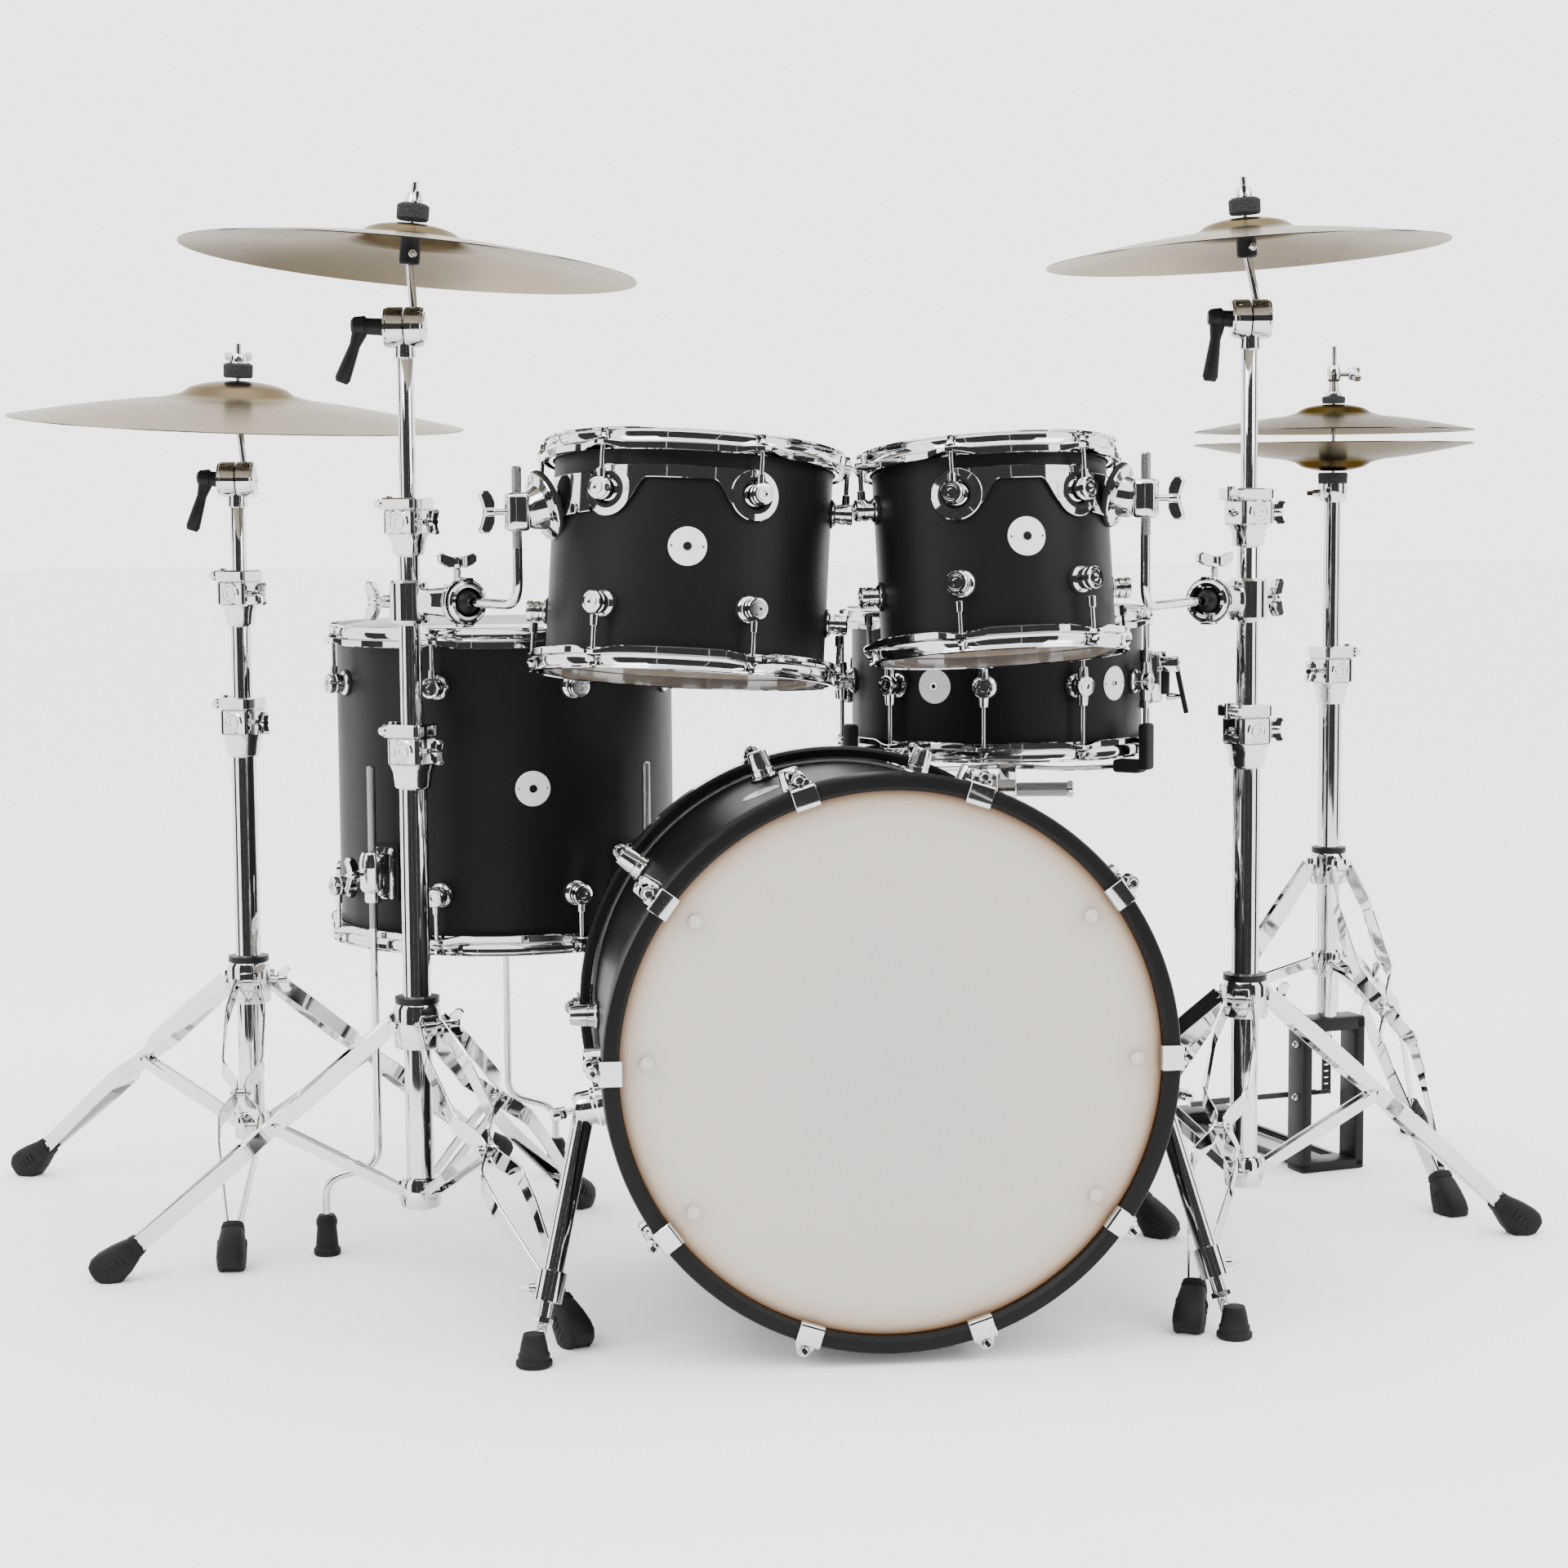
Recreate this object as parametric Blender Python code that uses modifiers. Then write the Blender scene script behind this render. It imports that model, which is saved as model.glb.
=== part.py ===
"""Five-piece acoustic drum kit with hardware: bass drum, two rack toms, floor tom, snare,
three cymbal stands and a hi-hat stand.  Metres, +Z up, the player sits on the +Y side.
Each named object is one closed solid; whatever slides or turns is a solid of its own."""
import math

import bmesh
import bpy
from mathutils import Matrix, Vector

INCH = 0.0254
GAP = 0.0004                  # air between touching pieces
BITE = 0.002                  # how far fused pieces sink into each other
MERGE = 0.00001

KIT_CENTRE = Vector((-0.0603, 0.5814, 0.0))    # plan centre of the whole kit, moved to the origin

# Round sections: corners of the circle for each kind of piece
DRUM_SIDES = 24
BIG_DRUM_SIDES = 28
CYMBAL_SIDES = 24
TUBE_SIDES = 12
ROD_SIDES = 8
LUG_SIDES = 6

# Shells, hoops and heads
SHELL_WALL = 0.006
HEAD_THICK = 0.0012
HEAD_LAP = 0.006              # head reaches past the shell to its flesh hoop
HOOP_WALL_IN = 0.0074         # inner face of a metal hoop, outside the shell
HOOP_WALL = 0.0024
HOOP_RISE = 0.0125            # hoop rim above the bearing edge
HOOP_DROP = 0.0115            # flange below the bearing edge
HOOP_LIP = 0.0045             # rolled rim
HOOP_FLANGE = 0.0165          # flange's outer edge, outside the shell
ROD_OUT = 0.0155              # tension rods stand this far outside the shell
ROD_RADIUS = 0.0035
LUG_RADIUS = 0.012
LUG_REACH = 0.025

# Bass drum
BASS_RADIUS = 11 * INCH
BASS_DEPTH = 18 * INCH
BASS_HOOP_OUTER = 0.2975
BASS_HOOP_INNER = 0.2862
BASS_HOOP_WIDTH = 1.5 * INCH
BASS_HOOP_PROUD = 0.015       # hoop face in front of the bearing edge
BASS_FRONT = Vector((0.111, 0.0, 0.3100))      # middle of the front hoop's face
BASS_YAW = math.radians(6.73)
BASS_TILT = math.radians(1.2)
BASS_LUGS = 10
BASS_LUG_ROW = 0.150
BASS_LUG_REACH = 0.034
BASS_ROD_OUT = 0.027
CLAW = Vector((0.020, 0.026, 0.046))
SPUR_ANGLE = -11              # degrees below the horizontal
SPUR_ROW = 0.100              # in front of the shell's middle
SPUR_FOOT_OUT = 0.060
SPUR_FOOT_FORWARD = 0.095
VENT_CIRCLE = 0.252           # air holes in the front head
VENT_RADIUS = 0.0068
VENT_ANGLES = (-34, 0, 36, 143, 178, 215)

# Drums: radius, depth, place of the middle, lean right and back in degrees, lugs
TOM12 = {"radius": 6 * INCH, "depth": 9 * INCH, "middle": Vector((-0.102, 0.290, 0.8127)),
         "lean": (3.2, 7.0), "lugs": 6, "first_lug": -123, "rows": (0.062, -0.058)}
TOM10 = {"radius": 5 * INCH, "depth": 8 * INCH, "middle": Vector((0.229, 0.260, 0.8226)),
         "lean": (-2.8, 7.2), "lugs": 6, "first_lug": -110, "rows": (0.052, -0.042)}
FLOOR_TOM = {"radius": 8 * INCH, "depth": 14 * INCH, "middle": Vector((-0.340, 0.645, 0.549)),
             "lean": (0, 0), "lugs": 8, "first_lug": -107, "rows": (0.121, -0.121)}
SNARE = {"radius": 7 * INCH, "depth": 6 * INCH, "middle": Vector((0.2625, 0.675, 0.6632)),
         "lean": (0, 0), "lugs": 10, "first_lug": -98.6, "rows": (0.0,)}

# Rack tom mounts: the L-arm's upright stands beside the tom
ARM_RADIUS = 0.0053
ARM_BORE = 0.0066
ARM_OUT = 0.040               # upright's axis outside the shell
BRACKET_FORWARD = 18          # degrees from the tom's side towards its front
ARM_TOP = 0.108               # above the tom's middle
ARM_BEND = -0.045             # lower end of the upright, from the tom's middle
MOUNT_OUT = 0.0022
MOUNT_THICK = 0.0022
MOUNT_ROWS = (0.036, 0.084)
BRACKET_ROW = 0.055
BALL_RADIUS = 0.0150
SOCKET_BORE = 0.0166
SOCKET_RADIUS = 0.0235
SOCKET_BACK = 0.0215
SOCKET_LIP = 0.008

# Floor tom legs
LEG_ROD = 0.0048
LEG_BORE = 0.0060
LEG_OUT = 0.0235
LEG_TOP = 0.578
LEG_KNEE = 0.130
LEG_ANGLES = (-128.5, -38.5, 96.5)
LEG_FOOT_TURNS = (186, 20, 0)         # each bent foot is turned clear of its neighbours
LEG_FOOT_OUT = 0.062

# Stand tubes: lower, middle and upper
LOWER_TUBE = 1.25 * INCH / 2
LOWER_BORE = 0.0137
MIDDLE_TUBE = 1.0 * INCH / 2
MIDDLE_BORE = 0.0104
UPPER_TUBE = 0.75 * INCH / 2
TUBE_INSERT = 0.100           # hidden length inside the tube below
COLLAR = 0.044
FOOT = Vector((0.062, 0.034, 0.042))
FOOT_CIRCLE = 0.372           # outermost point of the feet
LEG_BAR = (0.026, 0.010)
BRACE_BAR = (0.016, 0.006)
TILTER_RADIUS = 0.0225
TILTER_HALF = 0.0225
TILTER_ROD = 0.0040
CYMBAL_HOLE = 0.0062
CYMBAL_THICK = 0.0018

# Cymbal stands.  collars are the bottoms and tops of the two height clamps.
RIDE_STAND = {"name": "ride", "at": (-0.680, 0.745), "azimuth": 156, "legs": (0.255, 0.311),
              "collars": ((0.568, 0.644), (0.732, 0.803)), "tilter": 0.9134, "lever": (-0.052, -0.063),
              "lean": (2.7, -4.0), "seat": 0.1226, "cymbal": 22 * INCH / 2, "height": 0.050, "bell": 0.070}
LEFT_CRASH_STAND = {"name": "left_crash", "at": (-0.4195, 0.370), "azimuth": 183.5, "legs": (0.265, 0.320),
               "collars": ((0.562, 0.636), (0.824, 0.890)), "tilter": 1.0772, "lever": (-0.066, -0.061),
               "lean": (5.0, 2.0), "seat": 0.115, "cymbal": 20 * INCH / 2, "height": 0.043, "bell": 0.058}
RIGHT_CRASH_STAND = {"name": "right_crash", "at": (0.536, 0.450), "azimuth": 12, "legs": (0.280, 0.327),
                    "collars": ((0.572, 0.647), (0.827, 0.895)), "tilter": 1.0849, "lever": (-0.040, -0.070),
                    "lean": (-3.3, 0.5), "seat": 0.115,
                    "cymbal": 18 * INCH / 2, "height": 0.041, "bell": 0.055}

# Hi-hat
HAT_AT = Vector((0.712, 0.875, 0.0))
HAT_LEGS = (-67, 53, 173)
HAT_FOOT_CIRCLE = 0.300
HAT_RADIUS = 7 * INCH
HAT_EDGE = 0.9665             # top of the gap between the two edges
HAT_GAP = 0.015
HAT_HEIGHT = 0.034
HAT_BELL = 0.048
HAT_SEAT = 0.926
HAT_ROD = 0.0035
HAT_ROD_TOP = 1.076
PEDAL_YAW = math.radians(22)
PEDAL_FRAME = Vector((0.094, 0.040, 0.205))
FOOTBOARD = Vector((0.078, 0.255, 0.006))
FOOTBOARD_TOE = Vector((0.0, 0.045, 0.092))
FOOTBOARD_HEEL = Vector((0.0, 0.290, 0.034))

# Snare stand
SNARE_FEET = (80, 200, 320)
SNARE_FOOT_CIRCLE = 0.262
BASKET_ANGLES = (-33, 87, 207)
BASKET_HUB = 0.525

COLLECTION = "drum_kit"


# ---------------------------------------------------------------- helpers
def clear_scene():
    for thing in list(bpy.data.objects):
        bpy.data.objects.remove(thing, do_unlink=True)


def collection(name):
    group = bpy.data.collections.new(name)
    bpy.context.scene.collection.children.link(group)
    return group


def finish(name, colour, roughness, metallic):
    material = bpy.data.materials.new(name)
    material.use_nodes = True
    shader = material.node_tree.nodes["Principled BSDF"]
    shader.inputs["Base Color"].default_value = (*colour, 1.0)
    shader.inputs["Roughness"].default_value = roughness
    shader.inputs["Metallic"].default_value = metallic
    return material


def chrome(name):
    return finish(name + "_chrome", (0.80, 0.80, 0.81), 0.12, 1.0)


def bronze(name):
    return finish(name + "_bronze", (0.72, 0.60, 0.42), 0.32, 1.0)


def black_satin(name):
    return finish(name + "_black", (0.012, 0.012, 0.013), 0.45, 0.0)


def head_film(name, colour):
    return finish(name + "_film", colour, 0.55, 0.0)


def polar(radius, degrees, z=0.0):
    angle = math.radians(degrees)
    return Vector((radius * math.cos(angle), radius * math.sin(angle), z))


def piece(mesh, matrix=None):
    """A loose shape, later fused into a node."""
    thing = bpy.data.objects.new("shape", mesh)
    bpy.context.scene.collection.objects.link(thing)
    if matrix is not None:
        mesh.transform(matrix)
    return thing


def from_bmesh(build, matrix=None):
    mesh = bpy.data.meshes.new("shape")
    bm = bmesh.new()
    build(bm)
    bm.to_mesh(mesh)
    bm.free()
    return piece(mesh, matrix)


def along(start, end, up=Vector((0, 0, 1))):
    """Frame at the middle of start-end, local Z along the line, local X as level as can be."""
    z = (end - start).normalized()
    x = up.cross(z)
    if x.length < MERGE:
        x = Vector((1, 0, 0))
    x.normalize()
    y = z.cross(x)
    frame = Matrix((x, y, z)).transposed().to_4x4()
    frame.translation = (start + end) / 2
    return frame


def rod(start, end, radius, sides=TUBE_SIDES, end_radius=None):
    tip = radius if end_radius is None else end_radius

    def build(bm):
        bmesh.ops.create_cone(bm, cap_ends=True, segments=sides, radius1=radius, radius2=tip,
                              depth=(end - start).length)
    return from_bmesh(build, along(start, end))


def bar(start, end, width, thick):
    def build(bm):
        bmesh.ops.create_cube(bm, size=1.0)
    return from_bmesh(build, along(start, end) @ Matrix.Diagonal((width, thick, (end - start).length, 1)))


def block(size, middle, degrees=0.0):
    def build(bm):
        bmesh.ops.create_cube(bm, size=1.0)
    turn = Matrix.Rotation(math.radians(degrees), 4, "Z")
    return from_bmesh(build, Matrix.Translation(middle) @ turn @ Matrix.Diagonal((*size, 1)))


def ball(middle, radius):
    def build(bm):
        bmesh.ops.create_uvsphere(bm, u_segments=10, v_segments=6, radius=radius)
    return from_bmesh(build, Matrix.Translation(middle))


def turned(profile, sides, matrix=None, closed=True):
    """Turn a profile of (radius, z) points about Z.  It runs down the outer side first."""
    mesh = bpy.data.meshes.new("profile")
    count = len(profile)
    edges = [(i, i + 1) for i in range(count - 1)]
    if closed:
        edges.append((count - 1, 0))
    mesh.from_pydata([(radius, 0, z) for radius, z in profile], edges, [])
    outline = bpy.data.objects.new("profile", mesh)
    bpy.context.scene.collection.objects.link(outline)
    screw = outline.modifiers.new("turn", "SCREW")
    screw.steps = sides
    screw.render_steps = sides
    screw.use_merge_vertices = True
    screw.merge_threshold = MERGE
    result = evaluated_mesh(outline)
    bpy.data.objects.remove(outline, do_unlink=True)
    return piece(result, matrix)


def evaluated_mesh(thing):
    graph = bpy.context.evaluated_depsgraph_get()
    graph.update()
    return bpy.data.meshes.new_from_object(thing.evaluated_get(graph))


def joined(pieces):
    """Several shapes as one mesh, still separate bodies."""
    bm = bmesh.new()
    for thing in pieces:
        bm.from_mesh(thing.data)
        bpy.data.objects.remove(thing, do_unlink=True)
    mesh = bpy.data.meshes.new("shape")
    bm.to_mesh(mesh)
    bm.free()
    return piece(mesh)


def combine(body, tools, operation):
    """Apply one Boolean for each tool and return the new body."""
    for tool in tools:
        modifier = body.modifiers.new("cut", "BOOLEAN")
        modifier.operation = operation
        modifier.object = tool
    mesh = evaluated_mesh(body)
    for thing in [body, *tools]:
        bpy.data.objects.remove(thing, do_unlink=True)
    return piece(mesh)


def fuse(pieces):
    return combine(pieces[0], pieces[1:], "UNION")


def cut(body, tools):
    return combine(body, tools, "DIFFERENCE")


def node(name, thing, material, origin=Vector(), matrix=None):
    """Name a finished solid and put its origin on its joint's axis."""
    mesh = thing.data
    if matrix is not None:
        mesh.transform(matrix)
    mesh.transform(Matrix.Translation(-origin))
    mesh.name = name
    mesh.materials.clear()
    mesh.materials.append(material)
    for face in mesh.polygons:
        face.material_index = 0
    mesh.shade_smooth()
    mesh.set_sharp_from_angle(angle=math.radians(35))
    bpy.data.objects.remove(thing, do_unlink=True)
    result = bpy.data.objects.new(name, mesh)
    result.location = origin - KIT_CENTRE
    PARTS.objects.link(result)
    return result


# ---------------------------------------------------------------- drums
def lean_frame(drum):
    """The drum's own frame: Z along its axis, X to the right as seen from the front."""
    right, back = (math.radians(angle) for angle in drum["lean"])
    z = Vector((math.sin(right), math.sin(back), 1.0)).normalized()
    x = (Vector((1, 0, 0)) - z * z.x).normalized()
    frame = Matrix((x, z.cross(x), z)).transposed().to_4x4()
    frame.translation = drum["middle"]
    return frame


def bass_frame():
    back = Vector((-math.sin(BASS_YAW) * math.cos(BASS_TILT), math.cos(BASS_YAW) * math.cos(BASS_TILT),
                   -math.sin(BASS_TILT)))
    x = Vector((math.cos(BASS_YAW), math.sin(BASS_YAW), 0.0))
    z = -back
    frame = Matrix((x, z.cross(x), z)).transposed().to_4x4()
    frame.translation = BASS_FRONT + back * (BASS_DEPTH / 2 + BASS_HOOP_PROUD)
    return frame


def lug_angles(drum):
    step = 360 / drum["lugs"]
    return [drum["first_lug"] + step * i for i in range(drum["lugs"])]


def shell_ring(radius, depth, sides):
    half = depth / 2
    inner = radius - SHELL_WALL
    return turned([(radius, half), (radius, -half), (inner, -half), (inner, half)], sides)


def wall_chord(radius, sides):
    """Nearest distance of a faceted wall from the axis."""
    return radius * math.cos(math.pi / sides)


def lugs(radius, angles, rows, reach, sides):
    root = wall_chord(radius, sides) - BITE
    return joined([rod(polar(root, a, z), polar(radius + reach, a, z), LUG_RADIUS, LUG_SIDES)
                   for z in rows for a in angles])


def metal_hoop(drum, side):
    """Flanged hoop with its tension rods down to the lugs.  side is +1 above, -1 below."""
    radius, edge = drum["radius"], drum["depth"] / 2
    inner = radius + HOOP_WALL_IN
    outer = inner + HOOP_WALL
    rim, flange = edge + HOOP_RISE, edge - HOOP_DROP
    profile = [(outer + HOOP_LIP / 2, rim), (outer, flange + HOOP_LIP), (radius + HOOP_FLANGE, flange),
               (inner, flange), (inner, rim)]
    hoop = turned(profile, DRUM_SIDES)
    row = max(drum["rows"]) if side > 0 else -min(drum["rows"])
    foot = row + LUG_RADIUS + GAP
    rods = [rod(polar(radius + ROD_OUT - BITE, a, foot), polar(radius + ROD_OUT - BITE, a, flange + BITE),
                ROD_RADIUS, 4) for a in lug_angles(drum)]
    hoop = fuse([hoop, joined(rods)])
    if side < 0:
        hoop.data.transform(Matrix.Rotation(math.pi, 4, "X") @ Matrix.Diagonal((1, -1, 1, 1)))
        hoop.data.flip_normals()
    return hoop


def head_disc(radius, sides, height):
    half = Vector((0, 0, HEAD_THICK / 2))
    middle = Vector((0, 0, height))
    return rod(middle - half, middle + half, radius + HEAD_LAP, sides)


def round_drum(name, drum, extras=()):
    """Shell, two hoops and two heads of a rack tom, floor tom or snare."""
    frame = lean_frame(drum)
    radius, depth = drum["radius"], drum["depth"]
    shell = shell_ring(radius, depth, DRUM_SIDES)
    turrets = lugs(radius, lug_angles(drum), drum["rows"], LUG_REACH, DRUM_SIDES)
    shell = fuse([shell, turrets, *extras])
    node(name + "_shell", shell, black_satin(name + "_shell"), drum["middle"], frame)
    above = depth / 2 + GAP + HEAD_THICK / 2
    for side, word in ((1, "top"), (-1, "bottom")):
        hoop = metal_hoop(drum, side)
        node(f"{name}_{word}_hoop", hoop, chrome(f"{name}_{word}_hoop"), drum["middle"], frame)
        head = head_disc(radius, DRUM_SIDES, side * above)
        colour = (0.85, 0.84, 0.80) if side > 0 else (0.75, 0.75, 0.74)
        node(f"{name}_{word}_head", head, head_film(f"{name}_{word}_head", colour), drum["middle"], frame)


def bass_hoop(side):
    """Wooden hoop with ten claws and their rods to the lugs, built on the +Z side."""
    edge = BASS_DEPTH / 2
    face = edge + BASS_HOOP_PROUD
    back = face - BASS_HOOP_WIDTH
    hoop = turned([(BASS_HOOP_OUTER, face), (BASS_HOOP_OUTER, back), (BASS_HOOP_INNER, back),
                   (BASS_HOOP_INNER, edge + 0.003), (BASS_RADIUS - 0.004, edge + 0.003),
                   (BASS_RADIUS - 0.004, face)], BIG_DRUM_SIDES)
    claws = []
    for i in range(BASS_LUGS):
        angle = 360 / BASS_LUGS * i
        middle = polar(BASS_HOOP_OUTER + CLAW.x / 2 - 0.008, angle, face - CLAW.z / 2 + 0.003)
        claws.append(block((CLAW.x, CLAW.y, CLAW.z), middle, angle))
    rods = []
    for i in range(BASS_LUGS):
        angle = 360 / BASS_LUGS * i
        radius = BASS_RADIUS + BASS_ROD_OUT
        rods.append(rod(polar(radius, angle, BASS_LUG_ROW + LUG_RADIUS + GAP),
                        polar(radius, angle, face + 0.010), ROD_RADIUS, 4))
    hoop = fuse([hoop, joined(claws), joined(rods)])
    if side < 0:
        hoop.data.transform(Matrix.Diagonal((1, 1, -1, 1)))
        hoop.data.flip_normals()
    return hoop


def spur_seat(side):
    """Axis start and end of the spur's pivot boss, in the bass drum's frame."""
    angle = SPUR_ANGLE if side > 0 else 180 - SPUR_ANGLE
    return polar(BASS_RADIUS, angle, SPUR_ROW), polar(BASS_RADIUS + 0.022, angle, SPUR_ROW)


def bass_drum():
    frame = bass_frame()
    origin = frame.translation.copy()
    shell = shell_ring(BASS_RADIUS, BASS_DEPTH, BIG_DRUM_SIDES)
    angles = [360 / BASS_LUGS * i for i in range(BASS_LUGS)]
    turrets = lugs(BASS_RADIUS, angles, (BASS_LUG_ROW, -BASS_LUG_ROW), BASS_LUG_REACH, BIG_DRUM_SIDES)
    bosses = []
    for side in (-1, 1):
        inner, outer = spur_seat(side)
        root = inner * ((wall_chord(BASS_RADIUS, BIG_DRUM_SIDES) - BITE) / BASS_RADIUS)
        root.z = inner.z
        bosses.append(rod(root, outer, 0.026, TUBE_SIDES))
    shell = fuse([shell, turrets, *bosses])
    node("bass_shell", shell, black_satin("bass_shell"), origin, frame)
    above = BASS_DEPTH / 2 + GAP + HEAD_THICK / 2
    for side, word, colour in ((1, "front", (0.80, 0.76, 0.70)), (-1, "batter", (0.85, 0.85, 0.83))):
        hoop_name = "bass_front_hoop" if side > 0 else "bass_rear_hoop"
        node(hoop_name, bass_hoop(side), black_satin(hoop_name), origin, frame)
        head = head_disc(BASS_RADIUS, BIG_DRUM_SIDES, side * above)
        if side > 0:
            head = vented(head)
        node(f"bass_{word}_head", head, head_film(f"bass_{word}_head", colour), origin, frame)
    for side, word in ((-1, "left"), (1, "right")):
        spur(side, word, frame)


def vented(head):
    """Six small air holes in the front head."""
    holes = [rod(polar(VENT_CIRCLE, a, 0.0), polar(VENT_CIRCLE, a, BASS_DEPTH), VENT_RADIUS, LUG_SIDES)
             for a in VENT_ANGLES]
    return cut(head, [joined(holes)])


def spur(side, word, frame):
    """Folding leg: pivot block, tube with a clamp collar, inner tube and rubber foot."""
    inner, outer = spur_seat(side)
    outward = (outer - inner).normalized()
    axis_start = outer + outward * GAP
    hub_end = axis_start + outward * 0.024
    hub = rod(axis_start, hub_end, 0.020, TUBE_SIDES)
    pivot = frame @ axis_start
    level = Vector((outward.x, 0, 0)).normalized()
    start = axis_start + outward * 0.012
    foot = start + level * SPUR_FOOT_OUT + Vector((0, 0, SPUR_FOOT_FORWARD))
    foot_world = frame @ foot
    foot_world.z = 0.0
    foot = frame.inverted() @ foot_world
    direction = (foot - start).normalized()
    length = (foot - start).length
    tube = rod(start, start + direction * (length * 0.74), 0.0125, TUBE_SIDES)
    clamp = rod(start + direction * (length * 0.66), start + direction * (length * 0.76), 0.017, ROD_SIDES)
    inner_tube = rod(start + direction * (length * 0.70), start + direction * (length - 0.030), 0.0085,
                     ROD_SIDES)
    result = fuse([hub, tube, clamp, inner_tube])
    mesh = result.data
    mesh.transform(frame)
    rubber = rod(foot_world, foot_world + Vector((0, 0, 0.034)), 0.019, TUBE_SIDES, 0.011)
    result = fuse([result, rubber])
    node(f"spur_{word}", result, chrome(f"spur_{word}"), pivot)


# ---------------------------------------------------------------- floor tom legs
def leg_axis(angle, z):
    middle = FLOOR_TOM["middle"]
    spot = polar(FLOOR_TOM["radius"] + LEG_OUT, angle)
    return Vector((middle.x + spot.x, middle.y + spot.y, z))


def leg_brackets():
    """Blocks on the floor tom's shell, each with the bore its leg slides in."""
    brackets = []
    for angle in LEG_ANGLES:
        depth = LEG_OUT + 0.014
        radius = wall_chord(FLOOR_TOM["radius"], DRUM_SIDES) - BITE
        middle = polar(radius + depth / 2, angle, -0.098)
        body = block((depth, 0.036, 0.062), middle, angle)
        spot = polar(FLOOR_TOM["radius"] + LEG_OUT, angle)
        bore = rod(Vector((spot.x, spot.y, -0.2)), Vector((spot.x, spot.y, 0.2)), LEG_BORE, ROD_SIDES)
        brackets.append(cut(body, [bore]))
    return brackets


def floor_tom():
    round_drum("floor_tom", FLOOR_TOM, leg_brackets())
    for number, (angle, turn) in enumerate(zip(LEG_ANGLES, LEG_FOOT_TURNS), 1):
        outward = polar(1.0, turn)
        top = leg_axis(angle, LEG_TOP)
        knee = leg_axis(angle, LEG_KNEE)
        elbow = leg_axis(angle, LEG_KNEE - 0.012) + outward * 0.010
        out = leg_axis(angle, 0.100) + outward * (LEG_FOOT_OUT - 0.010)
        down = leg_axis(angle, 0.082) + outward * LEG_FOOT_OUT
        tip = leg_axis(angle, 0.040) + outward * LEG_FOOT_OUT
        wire = tube_along([top, knee, elbow, out, down, tip], LEG_ROD)
        floor_point = leg_axis(angle, 0.0) + outward * LEG_FOOT_OUT
        rubber = rod(floor_point, floor_point + Vector((0, 0, 0.048)), 0.016, ROD_SIDES, 0.010)
        node(f"floor_tom_leg_{number}", fuse([wire, rubber]), chrome(f"floor_tom_leg_{number}"), top)


def tube_along(points, radius):
    """A bent rod: a poly curve with a round section, made a mesh with welded caps."""
    curve = bpy.data.curves.new("wire", "CURVE")
    curve.dimensions = "3D"
    curve.bevel_depth = radius
    curve.bevel_resolution = 2
    curve.use_fill_caps = True
    spline = curve.splines.new("POLY")
    spline.points.add(len(points) - 1)
    for point, place in zip(spline.points, points):
        point.co = (*place, 1.0)
    thing = bpy.data.objects.new("wire", curve)
    bpy.context.scene.collection.objects.link(thing)
    mesh = evaluated_mesh(thing)
    bpy.data.objects.remove(thing, do_unlink=True)
    bm = bmesh.new()
    bm.from_mesh(mesh)
    bmesh.ops.remove_doubles(bm, verts=bm.verts, dist=MERGE)
    bmesh.ops.recalc_face_normals(bm, faces=bm.faces)
    bm.to_mesh(mesh)
    bm.free()
    return piece(mesh)


# ---------------------------------------------------------------- rack tom mounts
def mount_side(drum):
    """-1 where the arm comes from the left, +1 from the right."""
    return -1 if drum is TOM12 else 1


def bracket_angle(drum):
    return -BRACKET_FORWARD if mount_side(drum) > 0 else BRACKET_FORWARD - 180


def arm_axis(drum, z):
    return drum["middle"] + polar(drum["radius"] + ARM_OUT, bracket_angle(drum), z)


def band(drum):
    """Curved strip round the front of the tom, with holes for the upper lugs."""
    side = mount_side(drum)
    start, end = (-196, -48) if side < 0 else (-132, 16)
    inner = drum["radius"] + MOUNT_OUT
    outer = inner + MOUNT_THICK
    low, high = MOUNT_ROWS if drum is TOM12 else (MOUNT_ROWS[0] - 0.008, MOUNT_ROWS[1] - 0.010)
    steps = 12

    def build(bm):
        rings = []
        for i in range(steps + 1):
            angle = start + (end - start) * i / steps
            corners = [polar(outer, angle, low), polar(outer, angle, high),
                       polar(inner, angle, high), polar(inner, angle, low)]
            rings.append([bm.verts.new(corner) for corner in corners])
        for first, second in zip(rings, rings[1:]):
            for k in range(4):
                bm.faces.new((first[k], second[k], second[(k + 1) % 4], first[(k + 1) % 4]))
        bm.faces.new(rings[0])
        bm.faces.new(reversed(rings[-1]))
        bmesh.ops.recalc_face_normals(bm, faces=bm.faces)
    strip = from_bmesh(build)
    row = max(drum["rows"])
    radius = drum["radius"]
    holes = [rod(polar(radius - 0.02, a, row), polar(radius + 0.04, a, row), LUG_RADIUS + 0.0025, ROD_SIDES)
             for a in lug_angles(drum)]
    return cut(strip, [joined(holes)])


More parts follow.
